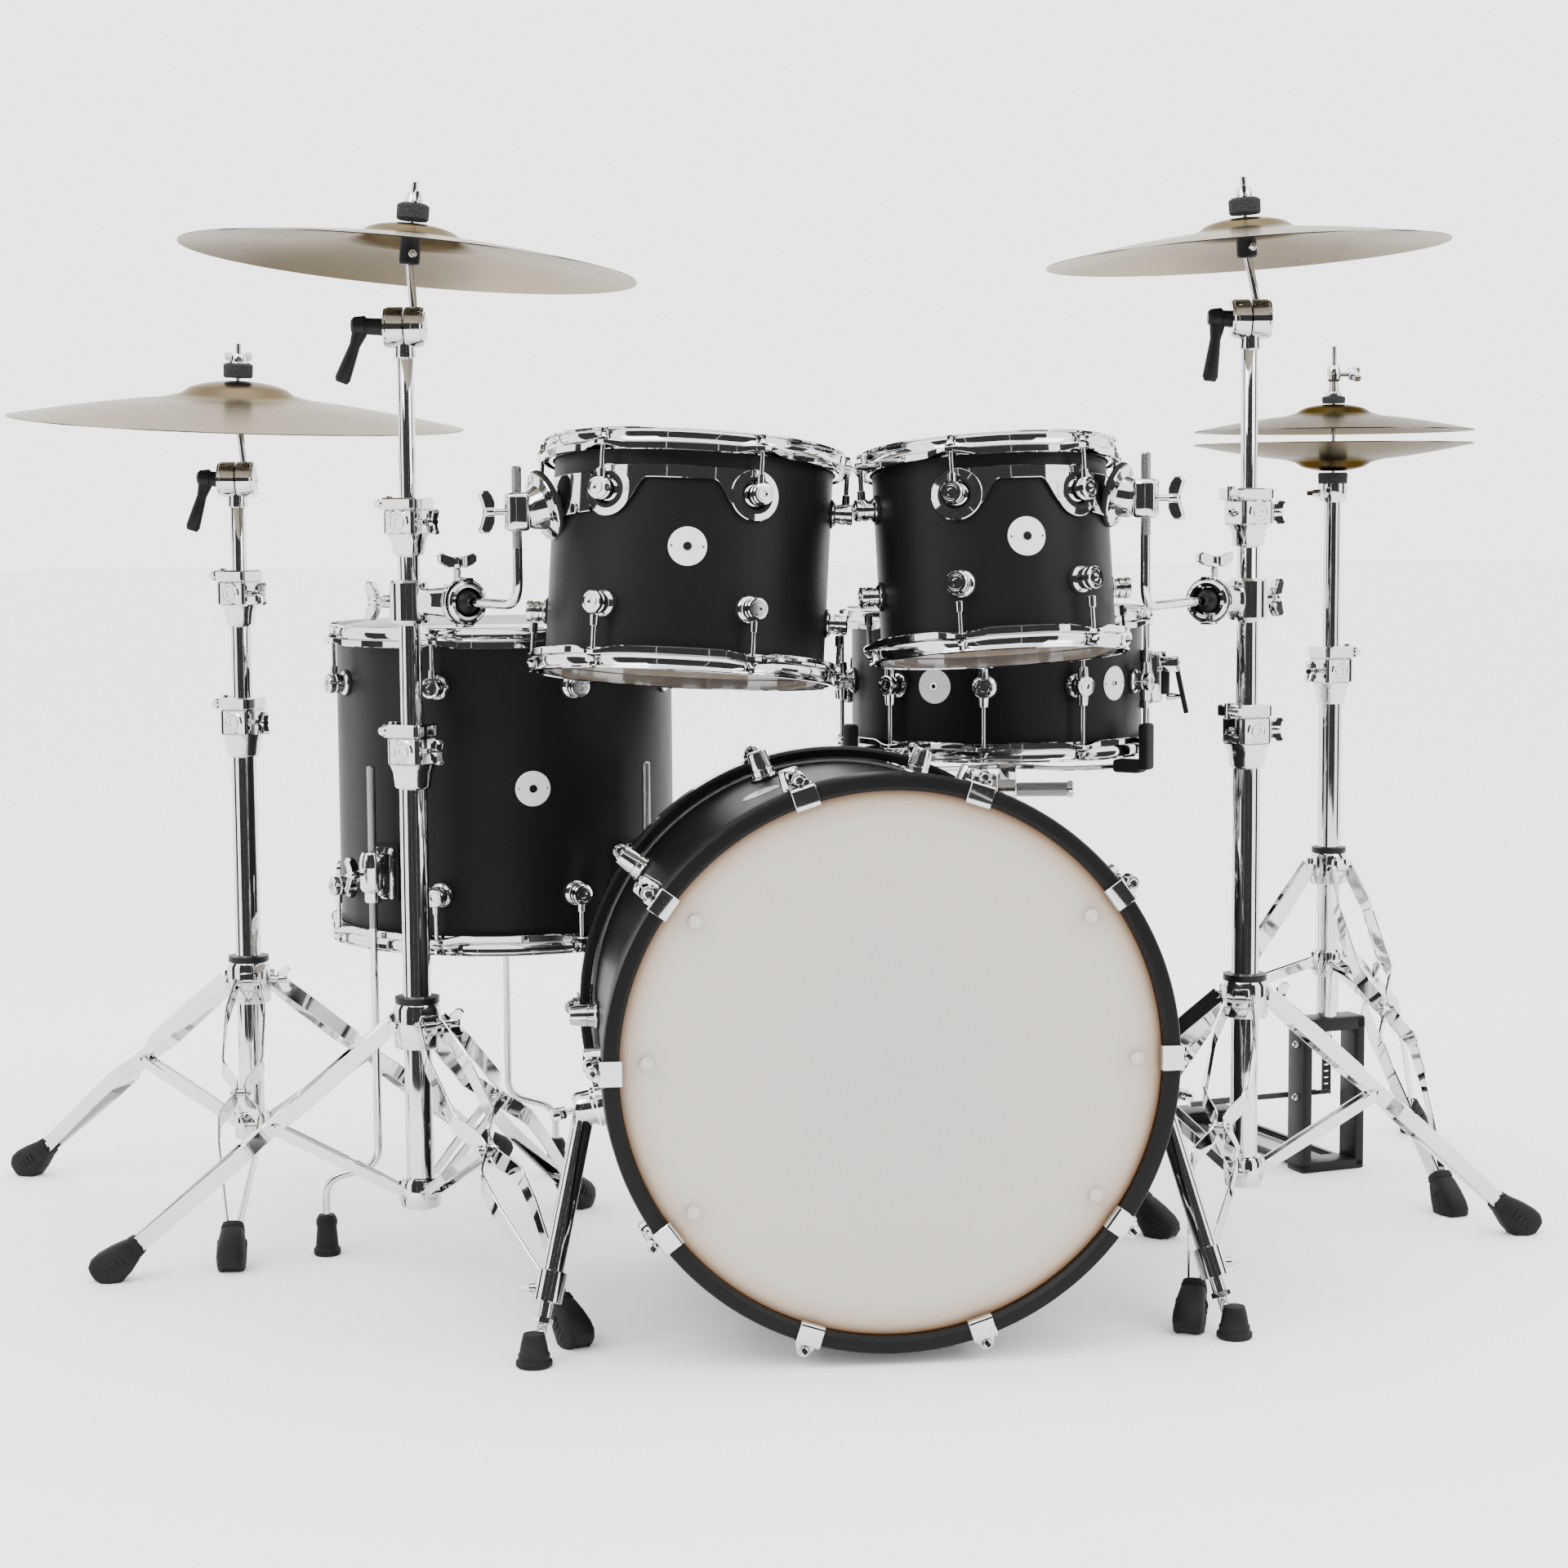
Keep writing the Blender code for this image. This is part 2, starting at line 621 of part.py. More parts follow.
def tom_mount(name, drum):
    """Band, bracket plate and the block with the bore for the L-arm's upright."""
    frame = lean_frame(drum)
    angle = bracket_angle(drum)
    outward = polar(1.0, angle)
    strip = band(drum)
    strip.data.transform(frame)
    centre = arm_axis(drum, BRACKET_ROW)
    plate_in = frame @ polar(drum["radius"] + MOUNT_OUT + 0.0009, angle, BRACKET_ROW)
    plate_out = frame @ polar(drum["radius"] + ARM_OUT - 0.009, angle, BRACKET_ROW)
    disc = rod(plate_in, plate_out, 0.024)
    grip = block((0.026, 0.036, 0.042), centre + Vector((0, 0, 0.004)), angle)
    nut = rod(centre + outward * 0.010, centre + outward * 0.030, 0.007, ROD_SIDES)
    body = fuse([grip, disc, nut])
    bore = rod(arm_axis(drum, -0.2), arm_axis(drum, 0.3), ARM_BORE, ROD_SIDES)
    body = cut(body, [bore])
    result = fuse([body, strip])
    node(name + "_mount", result, chrome(name + "_mount"), centre)


def ball_place(drum):
    """Centre of the ball that the tom clamp holds."""
    if drum is TOM12:
        return Vector((-0.353, 0.330, 0.7720))
    return Vector((0.4835, 0.400, 0.7660))


def tom_arm(name, drum):
    """Bent rod: upright beside the tom, level run into the ball."""
    centre = ball_place(drum)
    low = arm_axis(drum, ARM_BEND + 0.018)
    corner = arm_axis(drum, 0.0)
    corner.z = centre.z
    inward = (centre - corner).normalized()
    wire = tube_along([arm_axis(drum, ARM_TOP), low, corner + Vector((0, 0, 0.008)) + inward * 0.004,
                       corner + inward * 0.018, centre], ARM_RADIUS)
    node(name + "_arm", fuse([ball(centre, BALL_RADIUS), wire]), chrome(name + "_arm"), centre)


def tom_clamp(name, drum, stand):
    """Casting that grips the stand's middle tube and carries the ball socket."""
    centre = ball_place(drum)
    tube = Vector((*stand["at"], centre.z))
    reach = centre - tube
    socket_axis = (arm_level_end(drum) - centre).normalized()
    grip = rod(tube - Vector((0, 0, 0.024)), tube + Vector((0, 0, 0.024)), 0.022, TUBE_SIDES)
    inward = reach.normalized()
    arm = bar(tube + inward * 0.016, centre - inward * (SOCKET_BACK - 0.0025), 0.024, 0.026)
    socket = rod(centre - socket_axis * SOCKET_BACK, centre + socket_axis * SOCKET_LIP, SOCKET_RADIUS)
    screw = rod(centre + Vector((0, 0, SOCKET_RADIUS - 0.003)), centre + Vector((0, 0, 0.060)), 0.005,
                ROD_SIDES)
    back = tube - inward * 0.018
    wing = rod(back, back - inward * 0.045, 0.005, ROD_SIDES)
    body = fuse([grip, arm, socket, screw, wing])
    bores = [rod(tube - Vector((0, 0, 0.1)), tube + Vector((0, 0, 0.1)), MIDDLE_TUBE + 0.0009, TUBE_SIDES),
             rod(centre - socket_axis * (SOCKET_BORE - GAP), centre + socket_axis * 0.05, SOCKET_BORE)]
    node(name + "_clamp", cut(body, bores), chrome(name + "_clamp"), tube)


def arm_level_end(drum):
    corner = arm_axis(drum, 0.0)
    corner.z = ball_place(drum).z
    return corner


# ---------------------------------------------------------------- stands
def tripod(centre, azimuths, legs, foot_circle, tube_low):
    """Leg straps, braces, rubber feet and the two leg collars, round a tube."""
    low, high = legs
    shapes = [rod(centre + Vector((0, 0, low)), centre + Vector((0, 0, high)), 0.027, TUBE_SIDES),
              rod(centre + Vector((0, 0, tube_low + 0.004)), centre + Vector((0, 0, tube_low + 0.036)),
                  0.0225, TUBE_SIDES)]
    for azimuth in azimuths:
        shoulder = centre + polar(0.018, azimuth, (low + high) / 2)
        heel = centre + polar(foot_circle - 0.048, azimuth, 0.030)
        middle = shoulder.lerp(heel, 0.46)
        root = centre + polar(0.014, azimuth, tube_low + 0.020)
        shapes.append(bar(shoulder, heel, *LEG_BAR))
        shapes.append(bar(root, middle, *BRACE_BAR))
        foot = centre + polar(foot_circle - FOOT.x / 2, azimuth, FOOT.z / 2)
        shapes.append(block(FOOT, foot, azimuth))
    return shapes


def stand_base(stand):
    """Tripod with the lower tube and its height clamp, bored for the middle tube."""
    name = stand["name"]
    centre = Vector((*stand["at"], 0.0))
    bottom, top = stand["collars"][0]
    azimuths = [stand["azimuth"] + 120 * i for i in range(3)]
    low = 0.078
    tube = rod(centre + Vector((0, 0, low)), centre + Vector((0, 0, bottom + 0.02)), LOWER_TUBE)
    collar = block((COLLAR, COLLAR, top - bottom), centre + Vector((0, 0, (top + bottom) / 2)))
    body = fuse([tube, collar, *tripod(centre, azimuths, stand["legs"], FOOT_CIRCLE, low)])
    bore = rod(centre + Vector((0, 0, 0.02)), centre + Vector((0, 0, 1.0)), LOWER_BORE)
    node(name + "_stand_base", cut(body, [bore]), chrome(name + "_stand_base"), centre)


def stand_middle(stand):
    name = stand["name"]
    centre = Vector((*stand["at"], 0.0))
    bottom, top = stand["collars"][1]
    low = stand["collars"][0][0] - TUBE_INSERT
    tube = rod(centre + Vector((0, 0, low)), centre + Vector((0, 0, bottom + 0.02)), MIDDLE_TUBE)
    middle = centre + Vector((0, 0, (top + bottom) / 2))
    collar = block((COLLAR - 0.004, COLLAR - 0.004, top - bottom), middle)
    bore = rod(centre + Vector((0, 0, low - 0.1)), centre + Vector((0, 0, 1.2)), MIDDLE_BORE)
    origin = centre + Vector((0, 0, low))
    node(name + "_middle_tube", cut(fuse([tube, collar]), [bore]), chrome(name + "_middle_tube"), origin)


def stand_upper(stand):
    """Upper tube with the fixed half of the tilter and its clamping lever."""
    name = stand["name"]
    centre = Vector((*stand["at"], 0.0))
    low = stand["collars"][1][0] - TUBE_INSERT * 0.8
    hub = centre + Vector((0, 0, stand["tilter"]))
    tube = rod(centre + Vector((0, 0, low)), hub - Vector((0, 0, 0.030)), UPPER_TUBE)
    neck = bar(hub - Vector((0.010, 0, 0.040)), hub - Vector((0.010, 0, 0.010)), 0.018, 0.018)
    half = rod(hub - Vector((TILTER_HALF, 0, 0)), hub - Vector((GAP, 0, 0)), TILTER_RADIUS)
    reach, drop = stand["lever"]
    shoulder = hub - Vector((TILTER_HALF - 0.004, 0, 0))
    bend = hub + Vector((min(reach * 0.6, -TILTER_HALF - 0.010), 0, -0.004))
    tip = hub + Vector((reach - 0.006, 0, drop))
    lever = [bar(shoulder, bend, 0.012, 0.012), bar(bend + Vector((0.004, 0, 0.006)), tip, 0.012, 0.012)]
    node(name + "_upper_tube", fuse([tube, neck, half, *lever]), chrome(name + "_upper_tube"),
         centre + Vector((0, 0, low)))


def lean_axis(stand):
    right, back = (math.radians(angle) for angle in stand["lean"])
    return Vector((math.sin(right), math.sin(back), 1.0)).normalized()


def stand_rod(stand):
    """Moving half of the tilter with the cymbal's rod, seat, felt and wing nut."""
    name = stand["name"]
    hub = Vector((*stand["at"], stand["tilter"]))
    up = lean_axis(stand)
    seat = stand["seat"]
    half = rod(hub + Vector((GAP, 0, 0)), hub + Vector((TILTER_HALF, 0, 0)), TILTER_RADIUS)
    foot = Vector((0.009, 0, 0))
    shank = rod(hub + foot, hub + up * (seat - 0.030), TILTER_ROD + 0.0008, ROD_SIDES)
    pin = rod(hub + up * (seat - 0.040), hub + up * (seat + 0.040), TILTER_ROD, ROD_SIDES)
    sleeve = rod(hub + up * (seat - 0.046), hub + up * (seat - 0.0055), 0.012, ROD_SIDES)
    felt = rod(hub + up * (seat + 0.0035), hub + up * (seat + 0.021), 0.018, ROD_SIDES)
    nut = rod(hub + up * (seat + 0.020), hub + up * (seat + 0.036), 0.011, ROD_SIDES)
    node(name + "_tilter", fuse([half, shank, pin, sleeve, felt, nut]), chrome(name + "_tilter"), hub)


def cymbal_profile(radius, height, bell, thick=CYMBAL_THICK):
    """Closed section of a cymbal: bell, bow and a thin edge.  z = 0 under the hole's rim."""
    crown = height * 0.42
    upper = [(CYMBAL_HOLE, thick), (bell * 0.55, thick - crown * 0.28), (bell, thick - crown),
             (radius * 0.62, thick - crown - (height - crown) * 0.38), (radius, -height + thick * 0.6)]
    lower = [(r, z - thick) for r, z in reversed(upper[:-1])]
    return [*upper, (radius, -height), *lower]


def cymbal(name, place, up, radius, height, bell):
    shape = turned(cymbal_profile(radius, height, bell), CYMBAL_SIDES)
    x = (Vector((1, 0, 0)) - up * up.x).normalized()
    frame = Matrix((x, up.cross(x), up)).transposed().to_4x4()
    frame.translation = place
    node(name, shape, bronze(name), place, frame)


def cymbal_stand(stand):
    stand_base(stand)
    stand_middle(stand)
    stand_upper(stand)
    stand_rod(stand)
    up = lean_axis(stand)
    place = Vector((*stand["at"], stand["tilter"])) + up * (stand["seat"] - 0.002)
    cymbal(stand["name"] + "_cymbal", place, up, stand["cymbal"], stand["height"], stand["bell"])


# ---------------------------------------------------------------- hi-hat
def pedal_place(local):
    return HAT_AT + Matrix.Rotation(PEDAL_YAW, 3, "Z") @ local


def hat_base():
    """Pedal frame, tube, legs, upper tube and the seat of the lower cymbal."""
    yaw = math.degrees(PEDAL_YAW)
    width, deep, high = PEDAL_FRAME
    side_wall = 0.014
    shapes = [rod(HAT_AT + Vector((0, 0, high - 0.012)), HAT_AT + Vector((0, 0, 0.66)), 0.0148)]
    shapes.append(block((width, deep, 0.020), HAT_AT + Vector((0, 0, high - 0.010)), yaw))
    shapes.append(block((width, deep, 0.014), HAT_AT + Vector((0, 0, 0.007)), yaw))
    for side in (-1, 1):
        middle = pedal_place(Vector((side * (width - side_wall) / 2, 0, high / 2)))
        shapes.append(block((side_wall, deep - 0.002, high - 0.008), middle, yaw))
        start = pedal_place(Vector((side * 0.034, 0.012, 0.0065)))
        end = pedal_place(Vector((side * 0.034, 0.300, 0.0065)))
        shapes.append(bar(start, end, 0.012, 0.008))
    heel = pedal_place(Vector((0, 0.313, 0.011)))
    shapes.append(block((0.086, 0.060, 0.022), heel, yaw))
    shapes.append(rod(HAT_AT + Vector((0, 0, 0.380)), HAT_AT + Vector((0, 0, 0.425)), 0.026))
    shapes.append(rod(HAT_AT + Vector((0, 0, 0.257)), HAT_AT + Vector((0, 0, 0.297)), 0.024))
    for azimuth in HAT_LEGS:
        shoulder = HAT_AT + polar(0.018, azimuth, 0.402)
        heel_point = HAT_AT + polar(HAT_FOOT_CIRCLE - 0.048, azimuth, 0.030)
        root = HAT_AT + polar(0.014, azimuth, 0.277)
        shapes.append(bar(shoulder, heel_point, *LEG_BAR))
        shapes.append(bar(root, shoulder.lerp(heel_point, 0.52), *BRACE_BAR))
        foot = HAT_AT + polar(HAT_FOOT_CIRCLE - FOOT.x / 2, azimuth, FOOT.z / 2)
        shapes.append(block(FOOT, foot, azimuth))
    shapes.append(block((COLLAR, COLLAR, 0.077), HAT_AT + Vector((0, 0, 0.654))))
    shapes.append(rod(HAT_AT + Vector((0, 0, 0.64)), HAT_AT + Vector((0, 0, HAT_SEAT - 0.045)), 0.0111))
    seat = HAT_AT + Vector((0, 0, HAT_SEAT))
    shapes.append(rod(seat - Vector((0, 0, 0.050)), seat - Vector((0, 0, 0.0115)), 0.019))
    body = fuse(shapes)
    bore = rod(HAT_AT + Vector((0, 0, 0.15)), HAT_AT + Vector((0, 0, 1.0)), 0.0065)
    node("hihat_stand_base", cut(body, [bore]), chrome("hihat_stand_base"), HAT_AT)


def hat_footboard():
    toe, heel = FOOTBOARD_TOE, FOOTBOARD_HEEL
    start, end = pedal_place(toe), pedal_place(heel)
    plate = bar(start, end, FOOTBOARD.x, FOOTBOARD.z)
    hinge = pedal_place(heel + Vector((0, 0.004, 0)))
    sideways = Matrix.Rotation(PEDAL_YAW, 3, "Z") @ Vector((1, 0, 0))
    pin = rod(hinge - sideways * 0.036, hinge + sideways * 0.036, 0.0055, ROD_SIDES)
    node("hihat_footboard", fuse([plate, pin]), black_satin("hihat_footboard"), hinge)


def hat_pull_rod():
    """Pull rod with the clutch on it and the chain block at its lower end."""
    low = HAT_AT + Vector((0, 0, 0.150))
    top = HAT_AT + Vector((0, 0, HAT_ROD_TOP))
    rod_part = rod(low, top, HAT_ROD, ROD_SIDES)
    chain = block((0.012, 0.010, 0.058), HAT_AT + Vector((0, 0, 0.137)), math.degrees(PEDAL_YAW))
    hole = HAT_EDGE + HAT_HEIGHT
    lower_felt = rod(HAT_AT + Vector((0, 0, hole - 0.012)), HAT_AT + Vector((0, 0, hole - 0.0035)), 0.011,
                     ROD_SIDES)
    upper_felt = rod(HAT_AT + Vector((0, 0, hole + 0.0025)), HAT_AT + Vector((0, 0, hole + 0.018)), 0.015,
                     ROD_SIDES)
    clutch = rod(HAT_AT + Vector((0, 0, hole + 0.016)), HAT_AT + Vector((0, 0, hole + 0.052)), 0.010,
                 ROD_SIDES)
    shapes = [rod_part, chain, lower_felt, upper_felt, clutch]
    node("hihat_pull_rod", fuse(shapes), chrome("hihat_pull_rod"), low)


def hi_hat():
    hat_base()
    hat_footboard()
    hat_pull_rod()
    up = Vector((0, 0, 1))
    cymbal("hihat_top_cymbal", HAT_AT + up * (HAT_EDGE + HAT_HEIGHT), up, HAT_RADIUS, HAT_HEIGHT, HAT_BELL)
    shape = turned(cymbal_profile(HAT_RADIUS, HAT_HEIGHT, HAT_BELL), CYMBAL_SIDES)
    shape.data.transform(Matrix.Diagonal((1, 1, -1, 1)))
    shape.data.flip_normals()
    place = HAT_AT + up * (HAT_EDGE - HAT_GAP - HAT_HEIGHT)
    node("hihat_bottom_cymbal", shape, bronze("hihat_bottom_cymbal"), place, Matrix.Translation(place))


# ---------------------------------------------------------------- snare
def strainer_angle():
    step = 360 / SNARE["lugs"]
    return SNARE["first_lug"] + step * 2.5


def snare_drum():
    angle = strainer_angle()
    radius = wall_chord(SNARE["radius"], DRUM_SIDES) - BITE
    body = block((0.034, 0.034, 0.070), polar(radius + 0.017, angle, 0.0), angle)
    butt = block((0.026, 0.040, 0.040), polar(radius + 0.013, angle + 180, -0.010), angle)
    round_drum("snare", SNARE, (body, butt))
    pivot = SNARE["middle"] + polar(SNARE["radius"] + 0.0405, angle, 0.020)
    outward = polar(1.0, angle)
    across = polar(1.0, angle + 90)
    hub = rod(pivot - across * 0.014, pivot + across * 0.014, 0.0065, ROD_SIDES)
    tip = pivot + outward * 0.014 + Vector((0, 0, -0.062))
    lever = bar(pivot + Vector((0, 0, -0.004)), tip, 0.016, 0.006)
    node("snare_strainer_lever", fuse([hub, lever]), black_satin("snare_strainer_lever"), pivot)


def snare_stand():
    centre = Vector((SNARE["middle"].x, SNARE["middle"].y, 0.0))
    low = 0.070
    tube = rod(centre + Vector((0, 0, low)), centre + Vector((0, 0, 0.330)), MIDDLE_TUBE)
    collar = block((0.040, 0.040, 0.052), centre + Vector((0, 0, 0.336)))
    legs = tripod(centre, SNARE_FEET, (0.225, 0.270), SNARE_FOOT_CIRCLE, low)
    bore = rod(centre + Vector((0, 0, 0.02)), centre + Vector((0, 0, 1.0)), MIDDLE_BORE)
    node("snare_stand_base", cut(fuse([tube, collar, *legs]), [bore]), chrome("snare_stand_base"), centre)
    hub = centre + Vector((0, 0, BASKET_HUB))
    foot = centre + Vector((0, 0, 0.235))
    post = rod(foot, hub - Vector((0, 0, 0.024)), UPPER_TUBE)
    neck = bar(hub - Vector((0.012, 0, 0.040)), hub - Vector((0.012, 0, 0.008)), 0.022, 0.018)
    half = rod(hub - Vector((0.024, 0, 0)), hub - Vector((GAP, 0, 0)), 0.020)
    node("snare_stand_post", fuse([post, neck, half]), chrome("snare_stand_post"), foot)
    basket(hub)


def basket(hub):
    """Tilting half of the joint with its knob, and three arms that hold the snare's lower hoop."""
    half = rod(hub + Vector((GAP, 0, 0)), hub + Vector((0.024, 0, 0)), 0.020)
    grip = rod(hub + Vector((0.020, 0, 0)), hub + Vector((0.095, 0, 0)), 0.009, ROD_SIDES)
    crown = block((0.022, 0.030, 0.026), hub + Vector((0.013, 0, 0.024)))
    shapes = [half, grip, crown]
    middle = Vector((SNARE["middle"].x, SNARE["middle"].y, 0.0))
    seat = SNARE["middle"].z - SNARE["depth"] / 2 - HOOP_RISE
    radius = SNARE["radius"] + HOOP_FLANGE
    start = hub + Vector((0.013, 0, 0.026))
    for angle in BASKET_ANGLES:
        shelf = middle + polar(radius - 0.012, angle, seat - 0.010)
        wall = middle + polar(radius + 0.010, angle, seat + 0.012)
        shapes.append(bar(start, shelf, 0.010, 0.010))
        shapes.append(block((0.036, 0.026, 0.016), shelf, angle))
        shapes.append(block((0.014, 0.022, 0.056), wall, angle))
    node("snare_basket", fuse(shapes), chrome("snare_basket"), hub)


def main():
    bass_drum()
    floor_tom()
    for name, drum, stand in (("tom12", TOM12, LEFT_CRASH_STAND), ("tom10", TOM10, RIGHT_CRASH_STAND)):
        round_drum(name, drum)
        tom_mount(name, drum)
        tom_arm(name, drum)
        tom_clamp(name, drum, stand)
    snare_drum()
    snare_stand()
    for stand in (RIDE_STAND, LEFT_CRASH_STAND, RIGHT_CRASH_STAND):
        cymbal_stand(stand)
    hi_hat()


clear_scene()
PARTS = collection(COLLECTION)
main()
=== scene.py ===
import math
import bmesh
import bpy
from mathutils import Matrix, Vector


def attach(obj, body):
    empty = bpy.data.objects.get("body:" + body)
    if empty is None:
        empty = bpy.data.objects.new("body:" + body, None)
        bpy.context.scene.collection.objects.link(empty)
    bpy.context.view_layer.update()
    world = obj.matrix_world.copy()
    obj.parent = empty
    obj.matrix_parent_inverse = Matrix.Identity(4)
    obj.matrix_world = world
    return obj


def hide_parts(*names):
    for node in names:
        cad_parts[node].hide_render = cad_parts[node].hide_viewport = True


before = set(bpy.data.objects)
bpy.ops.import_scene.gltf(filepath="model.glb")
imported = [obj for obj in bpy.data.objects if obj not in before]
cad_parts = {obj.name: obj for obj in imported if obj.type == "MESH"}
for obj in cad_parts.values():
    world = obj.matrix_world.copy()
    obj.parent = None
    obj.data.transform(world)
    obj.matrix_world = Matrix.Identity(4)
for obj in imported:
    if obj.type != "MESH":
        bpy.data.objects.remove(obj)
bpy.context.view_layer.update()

# ---------------------------------------------------------------- driving sizes, in metres
INCH = 0.0254
TINY = 0.0000001
MERGE = 0.000002
KIT_CENTRE = Vector((-0.0603, 0.5814, 0.0))
SHIFT = Matrix.Translation(-KIT_CENTRE)
UP = Vector((0, 0, 1))
RIGHT = Vector((1, 0, 0))
BACK = Vector((0, 1, 0))

SHELL_WALL = 0.006
HOOP_IN = 0.0074
HOOP_WALL = 0.0024
HOOP_RISE = 0.0125
HOOP_DROP = 0.0115
ROD_OUT = 0.0155
ROD_THICK = 0.0026

BASS_LUG_ROW = 0.150
BASS = {"radius": 11 * INCH, "depth": 18 * INCH, "rows": (BASS_LUG_ROW, -BASS_LUG_ROW)}
BASS_HOOP_OUTER = 0.2975
BASS_HOOP_INNER = 0.2862
BASS_HOOP_WIDTH = 1.5 * INCH
BASS_LAP = 0.2800
BASS_HOOP_PROUD = 0.015
BASS_FRONT = Vector((0.111, 0.0, 0.3100))
BASS_YAW = math.radians(6.73)
BASS_TILT = math.radians(1.2)
BASS_LUGS = 10
BASS_ROD_OUT = 0.027
REAR_INLAYS = ((0.0060, 0.0085), (0.0120, 0.0280))   # from the hoop's inner edge
VENT_CIRCLE = 0.252
VENT_RADIUS = 0.0068
VENT_ANGLES = (-34, 0, 36, 143, 178, 215)
SPUR_ANGLE = -11
SPUR_ROW = 0.100
SPUR_FOOT = Vector((0.060, 0, 0.095))

TOM12 = {"name": "tom12", "radius": 6 * INCH, "depth": 9 * INCH, "middle": Vector((-0.102, 0.290, 0.8127)),
         "lean": (3.2, 7.0), "lugs": 6, "first_lug": -123, "rows": (0.062, -0.058), "side": -1,
         "ball": Vector((-0.353, 0.330, 0.7720)), "badge": -89}
TOM10 = {"name": "tom10", "radius": 5 * INCH, "depth": 8 * INCH, "middle": Vector((0.229, 0.260, 0.8226)),
         "lean": (-2.8, 7.2), "lugs": 6, "first_lug": -110, "rows": (0.052, -0.042), "side": 1,
         "ball": Vector((0.4835, 0.400, 0.7660)), "badge": -78}
FLOOR_TOM = {"name": "floor_tom", "radius": 8 * INCH, "depth": 14 * INCH,
             "middle": Vector((-0.340, 0.645, 0.549)), "lean": (0, 0), "lugs": 8, "first_lug": -107,
             "rows": (0.121, -0.121), "badge": -76}
SNARE = {"name": "snare", "radius": 7 * INCH, "depth": 6 * INCH, "middle": Vector((0.2625, 0.675, 0.6632)),
         "lean": (0, 0), "lugs": 10, "first_lug": -98.6, "rows": (0.0,)}

ARM_THICK = 0.0053
ARM_OUT = 0.040
ARM_TOP = 0.108
BRACKET_FORWARD = 18
BRACKET_ROW = 0.055
BAND_OUT = 0.0030
BAND_THICK = 0.0020
RING_INNER = 0.0185
RING_OUTER = 0.0275

LEG_ANGLES = (-128.5, -38.5, 96.5)
LEG_FOOT_TURNS = (186, 20, 0)
LEG_OUT = 0.0235
LEG_ROD = 0.0048
LEG_TOP = 0.578
LEG_KNEE = 0.130
LEG_FOOT_OUT = 0.062

LOWER_TUBE = 1.25 * INCH / 2
MIDDLE_TUBE = 1.0 * INCH / 2
UPPER_TUBE = 0.75 * INCH / 2
COLLAR = 0.044
COLLAR_TURN = 28
FOOT_CIRCLE = 0.372
TUBE_INSERT = 0.100
TILTER_RADIUS = 0.0225
STANDS = (
    {"name": "ride", "at": (-0.680, 0.745), "azimuth": 156, "legs": (0.255, 0.311),
     "collars": ((0.568, 0.644), (0.732, 0.803)), "tilter": 0.9134, "lever": (-0.052, -0.063),
     "lean": (2.7, -4.0), "seat": 0.1226, "cymbal": 11 * INCH, "height": 0.050, "bell": 0.070},
    {"name": "left_crash", "at": (-0.4195, 0.370), "azimuth": 183.5, "legs": (0.265, 0.320),
     "collars": ((0.562, 0.636), (0.824, 0.890)), "tilter": 1.0772, "lever": (-0.066, -0.061),
     "lean": (5.0, 2.0), "seat": 0.115, "cymbal": 10 * INCH, "height": 0.043, "bell": 0.058},
    {"name": "right_crash", "at": (0.536, 0.450), "azimuth": 12, "legs": (0.280, 0.327),
     "collars": ((0.572, 0.647), (0.827, 0.895)), "tilter": 1.0849, "lever": (-0.040, -0.070),
     "lean": (-3.3, 0.5), "seat": 0.115, "cymbal": 9 * INCH, "height": 0.041, "bell": 0.055})

HAT = Vector((0.712, 0.875, 0.0))
HAT_LEGS = (-67, 53, 173)
HAT_FOOT_CIRCLE = 0.300
HAT_RADIUS = 7 * INCH
HAT_EDGE = 0.9665
HAT_GAP = 0.015
HAT_HEIGHT = 0.034
HAT_BELL = 0.048
HAT_SEAT = 0.926
HAT_SHINE = 0.62
HAT_ROD_TOP = 1.076
PEDAL_YAW = 22
PEDAL = Vector((0.094, 0.040, 0.205))
TOE = Vector((0.0, 0.045, 0.092))
HEEL = Vector((0.0, 0.290, 0.034))

SNARE_FEET = (80, 200, 320)
SNARE_FOOT_CIRCLE = 0.262
BASKET_ANGLES = (-33, 87, 207)
BASKET_HUB = 0.525

LENS = 67.05
CAMERA = Vector((0.0, -2.920, 0.876))
PITCH = 5.437
ROLL = -0.386
WORLD_LIGHT = 3.2
CARD_REACH = 4.6
CARDS = ((-90, 3.0, 4.0, 1.6), (-124, 2.6, 4.0, 1.6), (-56, 2.6, 4.0, 1.6), (-176, 1.5, 3.4, 1.4),
         (-4, 1.5, 3.4, 1.4))                      # azimuth, width, height and middle of each dark panel


# ---------------------------------------------------------------- materials
TINT_STOPS = (0.3, 0.7)


